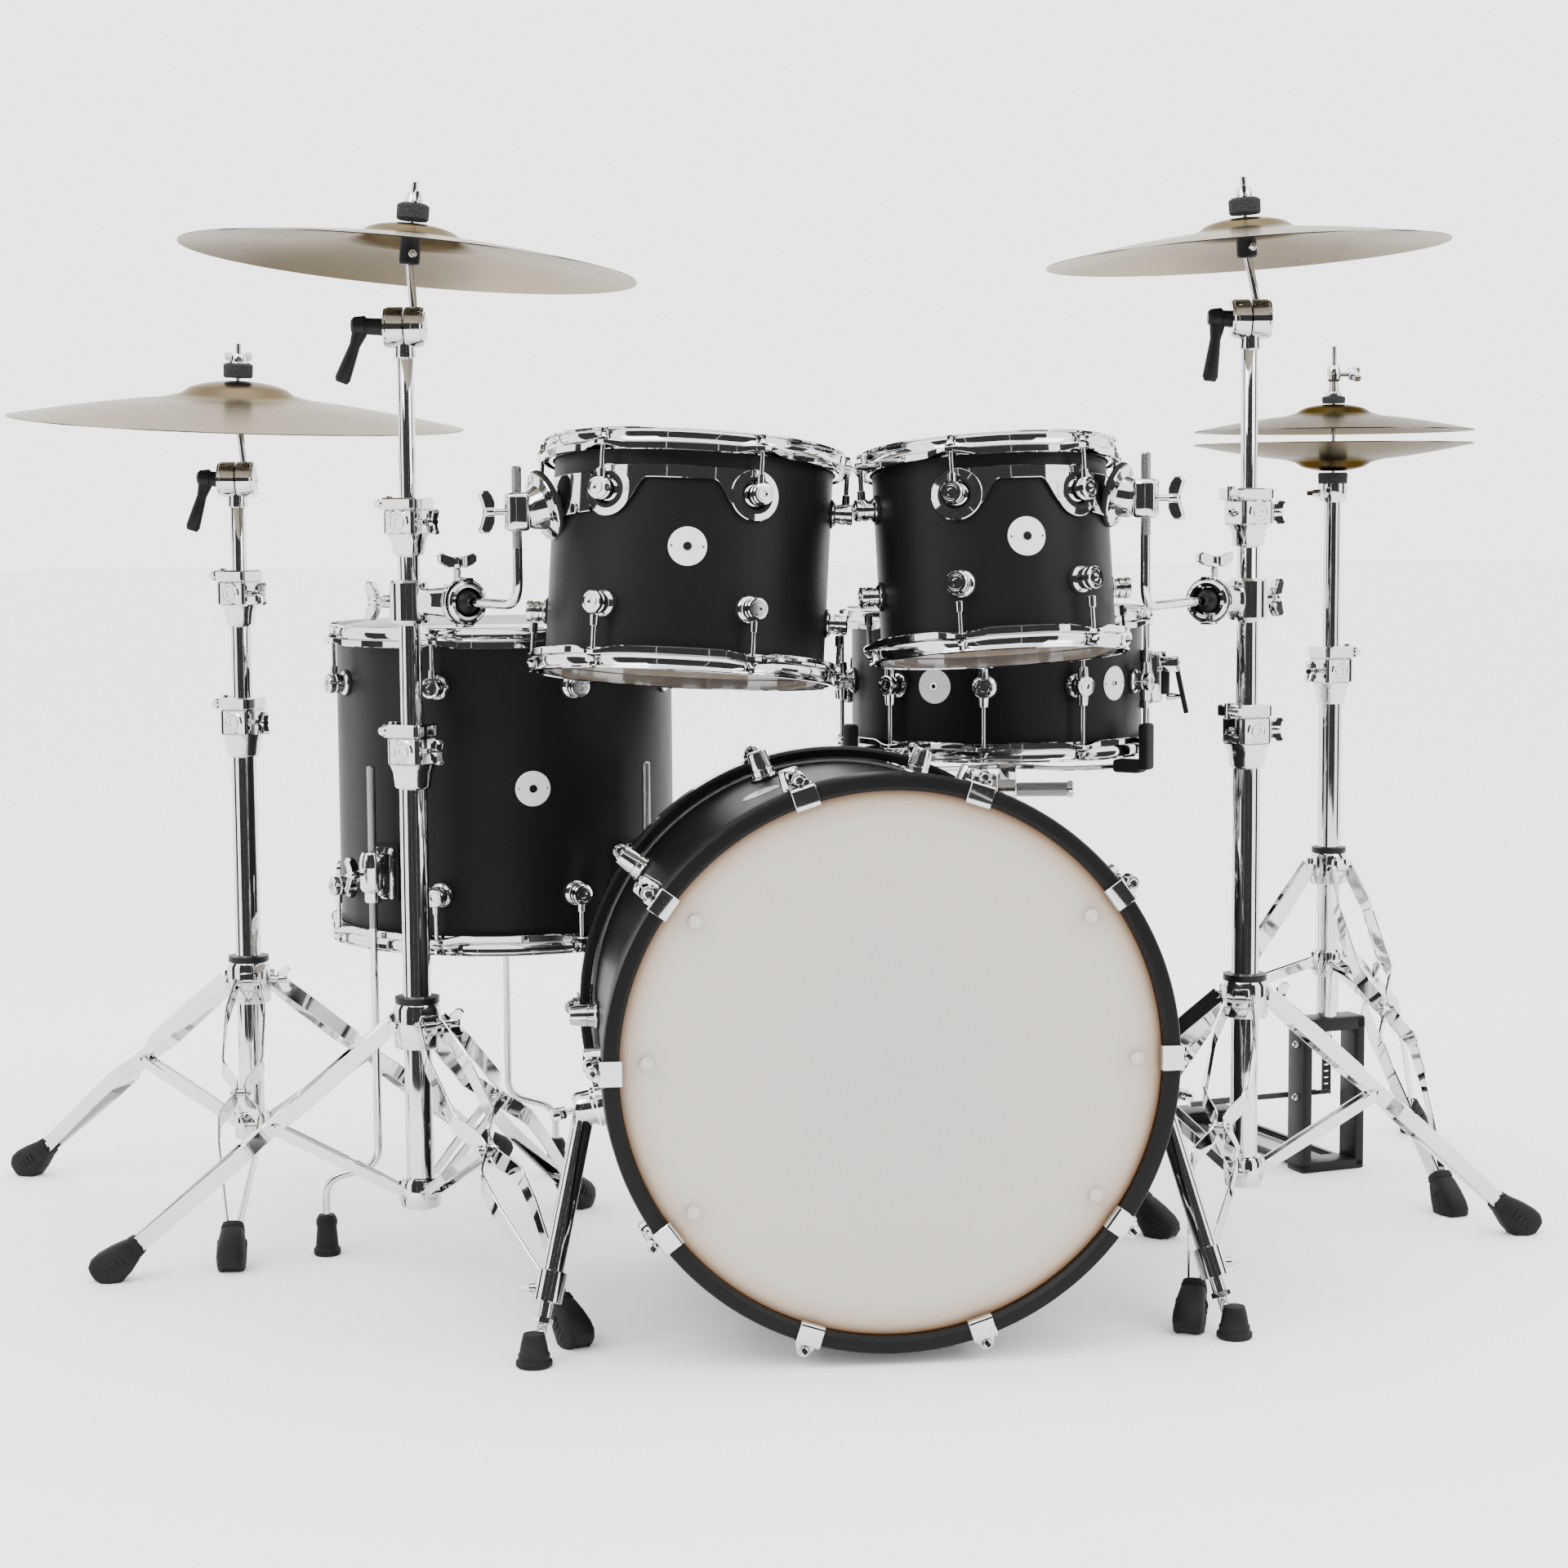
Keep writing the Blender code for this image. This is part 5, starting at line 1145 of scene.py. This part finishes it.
def floor_tom():
    place = round_drum(FLOOR_TOM, "floor_set")
    radius = FLOOR_TOM["radius"]
    badge("floor_tom", "floor_set", radius, FLOOR_TOM["badge"], 0.003, place)
    brackets = Shape(CHROME, RUBBER)
    for number, (angle, turn) in enumerate(zip(LEG_ANGLES, LEG_FOOT_TURNS), 1):
        turned = spin(angle)
        brackets.use(RUBBER).box(BRACKET_PAD, turned @ at(radius + 0.001, 0, BRACKET_DROP), 0.001, 1)
        brackets.use(CHROME).box(BRACKET_PLATE, turned @ at(radius + 0.006, 0, BRACKET_DROP), 0.003)
        for profile in (LEG_SLEEVE, LEG_LOCK):
            brackets.lathe(profile, at(polar(radius + LEG_OUT, angle)), loop=True)
        for side in (-1, 1):
            brackets.box(BRACKET_CHEEK, turned @ at(radius + 0.015, side * 0.0105, BRACKET_DROP), 0.003)
        wing_screw(brackets, polar(radius + LEG_OUT + 0.012, angle, -0.096), polar(1, angle), "floor_leg")
        root = FLOOR_TOM["middle"] + polar(radius + LEG_OUT, angle)
        root.z = 0.0
        foot = root + polar(1, turn) * LEG_FOOT_OUT
        leg = Shape(CHROME, KNURL, RUBBER)
        path = [root + UP * LEG_KNEE * 1.2, root + UP * 0.106, foot + UP * 0.090, foot + UP * 0.030]
        leg.wire(rounded(path, 0.022, 10), LEG_ROD)
        leg.bar(root + UP * LEG_KNEE * 1.15, root + UP * (LEG_TOP - 0.19), LEG_ROD, steps=20)
        leg.use(KNURL).bar(root + UP * (LEG_TOP - 0.192), root + UP * LEG_TOP, LEG_ROD + 0.0001, steps=24,
                           edge=0.0018)
        leg.use(RUBBER).lathe(LEG_SHOE, at(foot))
        body = f"floor_tom_leg_{number}"
        leg.piece(body + "_rod", body, "chrome", Matrix(), (body,))
    brackets.piece("floor_tom_leg_brackets", "floor_set", "chrome", place)


# ---------------------------------------------------------------- cymbals and their stands
CYMBAL_HOLE = 0.0065
TUBE_WALL = 0.0014
# share of the way, half width, half depth
LEVER_RINGS = ((0.00, 0.0100, 0.0080), (0.16, 0.0086, 0.0070), (0.34, 0.0062, 0.0056),
               (0.62, 0.0076, 0.0058), (0.93, 0.0090, 0.0058), (1.00, 0.0066, 0.0040))
TILTER = ((0, 0.0004), (0.0205, 0.0004), (0.0222, 0.0016), (TILTER_RADIUS, 0.0030), (TILTER_RADIUS, 0.0190),
          (0.0212, 0.0205), (0.0212, 0.0225), (0, 0.0225))
BASE_LOW = 0.078
SEAT_SLEEVE = ((0, -0.046), (0.0100, -0.046), (0.0115, -0.044), (0.0115, -0.016), (0.0135, -0.012),
               (0.0200, -0.0085), (0.0205, -0.0070), (0.0060, -0.0060), (0, -0.006))
SEAT_FELT = ((0, 0.0034), (0.0165, 0.0034), (0.0180, 0.0050), (0.0182, 0.0190), (0.0168, 0.0205), (0, 0.0205))
WING_NUT = ((0, 0.0206), (0.0150, 0.0206), (0.0155, 0.0216), (0.0105, 0.0230), (0.0095, 0.0300),
            (0.0080, 0.0330), (0, 0.0330))
NUT_EAR = ((0.004, 0.022), (0.013, 0.0235), (0.0175, 0.026), (0.0175, 0.034), (0.012, 0.0355), (0.004, 0.031))


def cymbal(name, body, place, radius, height, bell, flip=1, shine=1.0):
    """Hammered bow with a rounded bell, thinning to the edge."""
    crown = height * 0.42
    upper = []
    for i in range(1, 25):
        t = i / 24
        if t < 0.25:
            r = CYMBAL_HOLE + (bell - CYMBAL_HOLE) * (t / 0.25)
            z = -crown * (1 - math.sqrt(max(0.0, 1 - (r / bell) ** 2 * 0.96)))
        else:
            s = (t - 0.25) / 0.75
            r = bell + (radius - bell) * s
            z = -crown * 0.80 - crown * 0.20 * min(s * 10, 1.0) - (height - crown) * s ** 1.35
        upper.append((r, z + 0.0016))
    lower = [(r, z - 0.0013) for r, z in reversed(upper)]
    shape = Shape(cymbal_finish(name + "_bronze", radius, bell, shine))
    shape.lathe([*upper, *lower], Matrix.Diagonal((1, 1, flip, 1)), 160, loop=True)
    shape.piece(name + "_disc", body, "cymbal_bronze", place, (name,), 40)


def tube(name, body, centre, low, high, radius, node):
    """Stand tube, its ends eased and its top edge rolled."""
    shape = Shape(CHROME)
    bore = radius - TUBE_WALL
    shape.lathe([(bore, low), (radius - 0.0004, low), (radius, low + 0.0006), (radius, high - 0.0008),
                 (radius - 0.0005, high), (bore, high)], at(centre), 40, loop=True)
    shape.piece(name, body, "chrome", Matrix(), (node,))


def ratchet_lever(shape, hub, reach, drop):
    """Black die-cast lever: boss, arm and a tapering grip."""
    boss = hub - RIGHT * (TILTER_RADIUS - 0.004)
    knee = hub + Vector((min(reach * 0.72, -TILTER_RADIUS - 0.014), 0, 0.002))
    tip = hub + Vector((reach - 0.006, 0, drop))
    shape.bar(boss, knee - RIGHT * 0.006, 0.0098, 0.0090, edge=0.0015)
    shape.bar(knee + RIGHT * 0.006, knee - RIGHT * 0.012, 0.0112, 0.0100, edge=0.003)
    across = (tip - knee).normalized().cross(BACK).normalized()
    shape.loft([[knee.lerp(tip, k) + across * half * x + BACK * deep * y for x, y in circle(1, 16)]
                for k, half, deep in LEVER_RINGS])


def cymbal_stand(stand):
    name = stand["name"]
    centre = Vector((*stand["at"], 0.0))
    middle, upper = f"{name}_middle_tube", f"{name}_upper_tube"
    (low_bottom, low_top), (high_bottom, high_top) = stand["collars"]
    tube(f"{name}_lower_pipe", "floor_set", centre, BASE_LOW, low_bottom + 0.02, LOWER_TUBE,
         f"{name}_stand_base")
    azimuths = [stand["azimuth"] + 120 * i for i in range(3)]
    tripod(name, centre, azimuths, stand["legs"], FOOT_CIRCLE, BASE_LOW, "floor_set")
    low_collar, high_collar = Shape(CHROME), Shape(CHROME)
    turn = COLLAR_TURN if centre.x > 0 else -COLLAR_TURN
    memory_collar(low_collar, centre, low_bottom, low_top, MIDDLE_TUBE + 0.001, turn)
    wing_screw(low_collar, centre + UP * sum(stand["legs"]) / 2 + RIGHT * (LOWER_TUBE + 0.010), RIGHT, "hub")
    low_collar.piece(f"{name}_lower_clamp", "floor_set", "chrome")
    tube(f"{name}_middle_pipe", middle, centre, low_bottom - TUBE_INSERT, high_bottom + 0.02, MIDDLE_TUBE,
         middle)
    memory_collar(high_collar, centre, high_bottom, high_top, UPPER_TUBE + 0.001, turn)
    high_collar.piece(f"{name}_upper_clamp", middle, "chrome")
    hub = centre + UP * stand["tilter"]
    tube(f"{name}_upper_pipe", upper, centre, high_bottom - TUBE_INSERT * 0.8, hub.z - 0.020, UPPER_TUBE,
         upper)
    fixed = Shape(CHROME, BLACK)
    fixed.bar(hub - UP * 0.034, hub - UP * 0.014, 0.0125, 0.0115)
    fixed.lathe(TILTER, facing(-RIGHT, hub), 48)
    ratchet_lever(fixed.use(BLACK), hub, *stand["lever"])
    fixed.piece(f"{name}_tilter_half", upper, "chrome")
    cymbal_rod(stand, hub)
    up = lean_axis(stand)
    place = facing(up, hub + up * (stand["seat"] - 0.002))
    cymbal(f"{name}_cymbal", f"{name}_cymbal", place, stand["cymbal"], stand["height"], stand["bell"])


def cymbal_rod(stand, hub):
    """Moving tilter half, rod, plastic sleeve with its flange, felts and the wing nut."""
    up, seat, body = lean_axis(stand), stand["seat"], f"{stand['name']}_tilter"
    shape = Shape(CHROME, BLACK, FELT)
    shape.lathe(TILTER, facing(RIGHT, hub), 48)
    ringed_end(shape, hub + RIGHT * 0.0225, RIGHT, 0.0175)
    shape.bar(hub + RIGHT * 0.009 + up * 0.016, hub + up * (seat - 0.040), 0.0046)
    shape.bar(hub + up * (seat - 0.045), hub + up * (seat + 0.046), 0.0036)
    place = facing(up, hub + up * seat)
    shape.use(BLACK).lathe(SEAT_SLEEVE, place)
    key_screw(shape.use(CHROME), hub + up * (seat - 0.034) + Vector((0.004, -0.010, 0)),
              Vector((0.2, -1, 0)), 0.010)
    shape.use(FELT).lathe(SEAT_FELT, place, 40)
    shape.use(CHROME).lathe(WING_NUT, place)
    shape.ears(NUT_EAR, 0.0048, place, 0.001)
    shape.piece(f"{stand['name']}_cymbal_seat", body, "chrome", Matrix(), (body,))


# ---------------------------------------------------------------- hi-hat
PEDAL_CHEEK = 0.014
PEDAL_KEYS = (0.030, 0.100, 0.170)
HEEL_PLATE = (0.086, 0.060, 0.022)
HAT_OUTER_TUBE = ((0.0112, -0.010), (0.0148, -0.010))
HAT_TUBE_TOP = ((0.0148, 0.640), (0.0112, 0.640))
HAT_SEAT_CUP = ((0, -0.050), (0.0150, -0.050), (0.0185, -0.042), (0.0190, -0.030), (0.0185, -0.026),
                (0, -0.026))
HAT_SEAT_FELT = ((0, -0.026), (0.0185, -0.026), (0.0190, -0.014), (0.0180, -0.0118), (0, -0.0118))
HAT_COLLAR = (0.6155, 0.6925, 0.0112)
LOW_FELT = ((0, -0.0118), (0.0105, -0.0118), (0.0108, -0.0038), (0, -0.0038))
TOP_FELT = ((0, 0.0026), (0.0145, 0.0026), (0.0150, 0.0090), (0.0140, 0.0110), (0, 0.0110))
CLUTCH = ((0, 0.011), (0.0115, 0.011), (0.0120, 0.014), (0.0080, 0.017), (0.0066, 0.030), (0.0090, 0.033),
          (0.0095, 0.046), (0.0070, 0.051), (0, 0.051))
CHAIN_TOP = 0.160
CHAIN_PITCH = 0.0085
CHAIN_PLATE = (0.0014, 0.0060, 0.0105)
TREAD = (0.062, 0.005, 0.0016)


def hi_hat():
    turned = at(HAT) @ spin(PEDAL_YAW)
    width, deep, high = PEDAL
    cast = Shape(BLACK, CHROME)
    for side in (-1, 1):
        cast.box((PEDAL_CHEEK, deep, high - 0.004), turned @ at(side * (width - PEDAL_CHEEK) / 2, 0,
                                                                high / 2), 0.003)
        for z in PEDAL_KEYS:
            key_screw(cast.use(CHROME), turned @ Vector((side * width / 2, -0.004, z)),
                      turned.to_3x3() @ Vector((side, 0, 0)), 0.007)
        rail = [turned @ Vector((side * 0.034, y, 0.0065)) for y in (0.012, 0.300)]
        cast.use(BLACK).sweep(rail, strap_section(0.010, 0.008))
    cast.box((width, deep, 0.018), turned @ at(0, 0, high - 0.010), 0.003)
    cast.box((width, deep, 0.014), turned @ at(0, 0, 0.007), 0.003)
    cast.box(HEEL_PLATE, turned @ at(0, 0.313, 0.011), 0.004)
    cast.piece("hihat_pedal_frame", "floor_set", "black_metal", Matrix(), ("hihat_stand_base",))
    post = Shape(CHROME, BLACK, FELT)
    place = at(HAT)
    post.lathe([*shifted(HAT_OUTER_TUBE, 0, high), *HAT_TUBE_TOP], place, 40, loop=True)
    post.lathe([(0.0080, 0.600), (0.0111, 0.600), (0.0111, HAT_SEAT - 0.046), (0.0080, HAT_SEAT - 0.046)],
               place, 40, loop=True)
    memory_collar(post, HAT, *HAT_COLLAR, COLLAR_TURN, -1)
    post.lathe(shifted(HAT_SEAT_CUP, 0, HAT_SEAT), place)
    post.use(FELT).lathe(shifted(HAT_SEAT_FELT, 0, HAT_SEAT), place)
    key_screw(post.use(CHROME), HAT + Vector((-0.018, 0, HAT_SEAT - 0.038)), -RIGHT, 0.016)
    post.piece("hihat_tube", "floor_set", "chrome")
    tripod("hihat", HAT, HAT_LEGS, (0.380, 0.425), HAT_FOOT_CIRCLE, 0.257, "floor_set")
    footboard(turned)
    pull_rod(turned)
    for name, body, z, flip in (("hihat_top_cymbal", "hihat_pull_rod", HAT_EDGE + HAT_HEIGHT, 1),
                                ("hihat_bottom_cymbal", "floor_set", HAT_EDGE - HAT_GAP - HAT_HEIGHT, -1)):
        cymbal(name, body, at(HAT + UP * z), HAT_RADIUS, HAT_HEIGHT, HAT_BELL, flip, HAT_SHINE)


def footboard(turned):
    """Ribbed foot plate with a rounded toe and its hinge pin."""
    start, end = turned @ TOE, turned @ HEEL
    along = (end - start).normalized()
    across = turned.to_3x3() @ RIGHT
    place = axes(across, along, across.cross(along).normalized(), start)
    length = (end - start).length
    half = [(0.014, -0.006), (0.034, 0.0), (0.039, 0.012), (0.039, length - 0.004), (0.036, length)]
    plate = Shape(BLACK, CHROME)
    plate.plate([*half, *((-x, y) for x, y in reversed(half))], 0.006, place, 0.0012)
    for i in range(9):
        plate.box(TREAD, place @ at(0, 0.030 + 0.022 * i, 0.0036), 0.0005, 1)
    plate.use(CHROME).pin(turned @ (HEEL + BACK * 0.004), across, 0.036, 0.0050)
    plate.piece("hihat_foot_plate", "hihat_footboard", "black_metal", Matrix(), ("hihat_footboard",))


def pull_rod(turned):
    """Pull rod, clutch with felts, nuts and wing, and the chain below."""
    rod = Shape(CHROME, FELT, BLACK)
    rod.bar(HAT + UP * 0.165, HAT + UP * HAT_ROD_TOP, 0.0033, steps=16)
    hole = HAT_EDGE + HAT_HEIGHT
    place = at(HAT + UP * hole)
    for felt in (LOW_FELT, TOP_FELT):
        rod.use(FELT).lathe(felt, place)
    rod.use(CHROME).lathe(CLUTCH, place, 12)
    wing_screw(rod, HAT + Vector((0.006, 0, hole + 0.040)), RIGHT, "clutch")
    for i in range(7):
        link = turned @ at(0, 0, CHAIN_TOP - CHAIN_PITCH * i)
        rod.use(BLACK).bar(link @ Vector((-0.0045, 0, 0)), link @ Vector((0.0045, 0, 0)), 0.0034, steps=14)
        for side in (-1, 1):
            rod.box(CHAIN_PLATE, link @ at(side * 0.0050, 0, -0.0042), 0.0005, 1)
    rod.use(CHROME).box((0.013, 0.009, 0.014), turned @ at(0, 0, 0.172), 0.002)
    rod.piece("hihat_clutch_rod", "hihat_pull_rod", "chrome", Matrix(), ("hihat_pull_rod",))


# ---------------------------------------------------------------- snare and its stand
SNARE_BADGES = (-118.4, -42.0)
SNARE_BODY = ((CHROME, (0.010, 0.034, 0.072), (0.005, 0, 0), (0.002,)),
              (CHROME, (0.018, 0.030, 0.066), (0.016, 0, 0.002), (0.004, 3, 0.92)),
              (BLACK, (0.012, 0.026, 0.030), (0.028, 0, -0.004), (0.003,)),
              (CHROME, (0.026, 0.0028, 0.018), (0.032, -0.0155, 0.018), (0.0012,)),
              (CHROME, (0.026, 0.0028, 0.018), (0.032, 0.0155, 0.018), (0.0012,)))
SNARE_BUTT = ((CHROME, (0.010, 0.040, 0.040), (0.005, 0, -0.010), (0.002,)),
              (BLACK, (0.014, 0.028, 0.016), (0.014, 0, -0.018), (0.003,)))     # material, size, place, bevel
WIRE_REACH = 0.150
WIRE_STEP = 0.0022
SNARE_TILTER = ((0, 0.0004), (0.0185, 0.0004), (0.0200, 0.0020), (0.0200, 0.0210), (0.0185, 0.0235),
                (0, 0.0235))
SNARE_BASE_LOW = 0.070
BASKET_BLOCK = (0.022, 0.030, 0.026)
TIP_SHELF = (0.036, 0.024, 0.016)
TIP_WALL = (0.013, 0.022, 0.056)


def snare():
    place = round_drum(SNARE, "snare")
    radius = SNARE["radius"]
    for number, angle in enumerate(SNARE_BADGES, 1):
        badge(f"snare_{number}", "snare", radius, angle, 0.0, place)
    angle = SNARE["first_lug"] + 360 / SNARE["lugs"] * 2.5
    outward, along = polar(1, angle), polar(1, angle + 90)
    shape = Shape(CHROME, BLACK)
    for blocks, turn in ((SNARE_BODY, angle), (SNARE_BUTT, angle + 180)):
        for material, size, (out, sideways, up), bevel in blocks:
            shape.use(material).box(size, spin(turn) @ at(radius + out, sideways, up), *bevel)
    key_screw(shape.use(CHROME), polar(radius + 0.010, angle, 0.030), outward, 0.020)
    key_screw(shape, polar(radius + 0.030, angle, -0.022), outward, 0.022)
    shape.piece("snare_strainer", "snare", "chrome", place)
    wires = Shape(CHROME)
    low = -SNARE["depth"] / 2 - 0.0030
    for i in range(20):
        side = along * (WIRE_STEP * (i - 9.5))
        wires.bar(polar(WIRE_REACH, angle + 180, low) + side, polar(WIRE_REACH, angle, low) + side, 0.0007,
                  steps=6, edge=0.0001)
    for end in (0, 180):
        wires.box((0.010, 0.048, 0.0022), spin(angle + end) @ at(WIRE_REACH + 0.002, 0, low), 0.0006, 1)
    wires.piece("snare_wires", "snare", "chrome", place)
    pivot = SNARE["middle"] + polar(radius + 0.0405, angle, 0.020)
    lever = Shape(BLACK, CHROME)
    lever.use(CHROME).pin(pivot, along, 0.0135, 0.0060)
    path = [pivot + UP * 0.004, pivot + outward * 0.007 - UP * 0.030, pivot + outward * 0.014 - UP * 0.062]
    lever.use(BLACK).sweep(rounded(path, 0.012), strap_section(0.015, 0.006), up=outward)
    lever.piece("snare_throw_lever", "snare_strainer_lever", "black_metal", Matrix(),
                ("snare_strainer_lever",))


def snare_stand():
    centre = Vector((*SNARE["middle"].xy, 0.0))
    tube("snare_lower_pipe", "floor_set", centre, SNARE_BASE_LOW, 0.330, MIDDLE_TUBE, "snare_stand_base")
    tripod("snare", centre, SNARE_FEET, (0.225, 0.270), SNARE_FOOT_CIRCLE, SNARE_BASE_LOW, "floor_set")
    collar = Shape(CHROME)
    memory_collar(collar, centre, 0.310, 0.362, UPPER_TUBE + 0.001)
    collar.piece("snare_stand_clamp", "floor_set", "chrome")
    hub = centre + UP * BASKET_HUB
    tube("snare_post_pipe", "snare_stand_post", centre, 0.235, hub.z - 0.022, UPPER_TUBE, "snare_stand_post")
    half = Shape(CHROME)
    half.bar(hub - UP * 0.036, hub - UP * 0.014, 0.0120, 0.0110)
    half.lathe(SNARE_TILTER, facing(-RIGHT, hub), 40)
    ringed_end(half, hub - RIGHT * 0.0235, -RIGHT, 0.0155)
    half.piece("snare_tilter_half", "snare_stand_post", "chrome")
    basket = Shape(CHROME, RUBBER, KNURL)
    basket.lathe(SNARE_TILTER, facing(RIGHT, hub), 40)
    basket.use(KNURL).bar(hub + RIGHT * 0.024, hub + RIGHT * 0.088, 0.0088, edge=0.0015)
    basket.use(CHROME).bar(hub + RIGHT * 0.087, hub + RIGHT * 0.095, 0.0110, edge=0.0015)
    basket.box(BASKET_BLOCK, at(hub + Vector((0.013, 0, 0.024))), 0.004)
    seat = SNARE["middle"].z - SNARE["depth"] / 2 - HOOP_RISE
    radius = SNARE["radius"] + 0.0165
    start = hub + Vector((0.013, 0, 0.030))
    for angle in BASKET_ANGLES:
        shelf = centre + polar(radius - 0.012, angle, seat - 0.012)
        wall = centre + polar(radius + 0.010, angle, seat + 0.012)
        bend = start.lerp(shelf, 0.45) - UP * 0.004
        basket.use(CHROME).sweep(rounded([start, bend, shelf], 0.04), strap_section(0.009, 0.006))
        basket.use(RUBBER).box(TIP_SHELF, at(shelf) @ spin(angle), 0.004)
        basket.box(TIP_WALL, at(wall) @ spin(angle), 0.004)
    basket.piece("snare_basket_arms", "snare", "chrome", Matrix(), ("snare_basket",))


# ---------------------------------------------------------------- studio
FLOOR_HALF = 40.0
SENSOR = 36.0
LAMP_AIM = Vector((0, 0, 0.6))
LAMPS = (("key", (-1.8, -2.2, 3.0), 1.6, 60), ("fill", (2.4, -1.8, 2.4), 1.4, 30),
         ("top", (0.0, 0.4, 3.4), 2.4, 50))        # name, place, size, power


def panel(name, size, place, material):
    """A flat sheet that belongs to the studio."""
    bm = bmesh.new()
    bmesh.ops.create_grid(bm, x_segments=1, y_segments=1, size=size, matrix=place)
    mesh = mesh_from(bm, name)
    mesh.materials.append(material)
    thing = placed(name, mesh)
    return thing


def studio():
    paper = grained("floor_paper", (0.90, 0.90, 0.90), 0.75, gloss=((3.0,), 0.70, 0.80))
    panel("floor", FLOOR_HALF, Matrix(), paper)
    paint = grained("card_black", (0.004, 0.004, 0.004), 0.9, gloss=((3.0,), 0.85, 0.95))
    for number, (azimuth, wide, tall, middle) in enumerate(CARDS):
        place = facing(-polar(1, azimuth), polar(CARD_REACH, azimuth, middle)) @ Matrix.Diagonal((wide,
                                                                                                  tall, 1,
                                                                                                  1))
        card = panel(f"card_{number}", 0.5, place, paint)
        card.visible_camera = card.visible_shadow = card.visible_diffuse = False
    world = bpy.data.worlds.new("studio")
    world.use_nodes = True
    backdrop = world.node_tree.nodes["Background"]
    backdrop.inputs["Color"].default_value = (1.0, 1.0, 1.0, 1.0)
    backdrop.inputs["Strength"].default_value = WORLD_LIGHT
    bpy.context.scene.world = world
    for name, place, size, power in LAMPS:
        light = bpy.data.lights.new(name, "AREA")
        light.energy = power
        light.size = size
        placed(name, light, facing(Vector(place) - LAMP_AIM, Vector(place)))
    camera = bpy.data.cameras.new("camera")
    camera.lens = LENS
    camera.sensor_width = SENSOR
    turn = spin(90 - PITCH, "X") @ spin(ROLL)
    bpy.context.scene.camera = placed("camera", camera, at(CAMERA - KIT_CENTRE) @ turn)


def main():
    studio()
    bass_drum()
    floor_tom()
    for drum, stand in ((TOM12, STANDS[1]), (TOM10, STANDS[2])):
        place = round_drum(drum, drum["name"])
        badge(drum["name"], drum["name"], drum["radius"], drum["badge"], 0.004, place)
        tom_mount(drum)
        tom_arm(drum)
        tom_clamp(drum, stand)
    snare()
    snare_stand()
    for stand in STANDS:
        cymbal_stand(stand)
    hi_hat()


main()
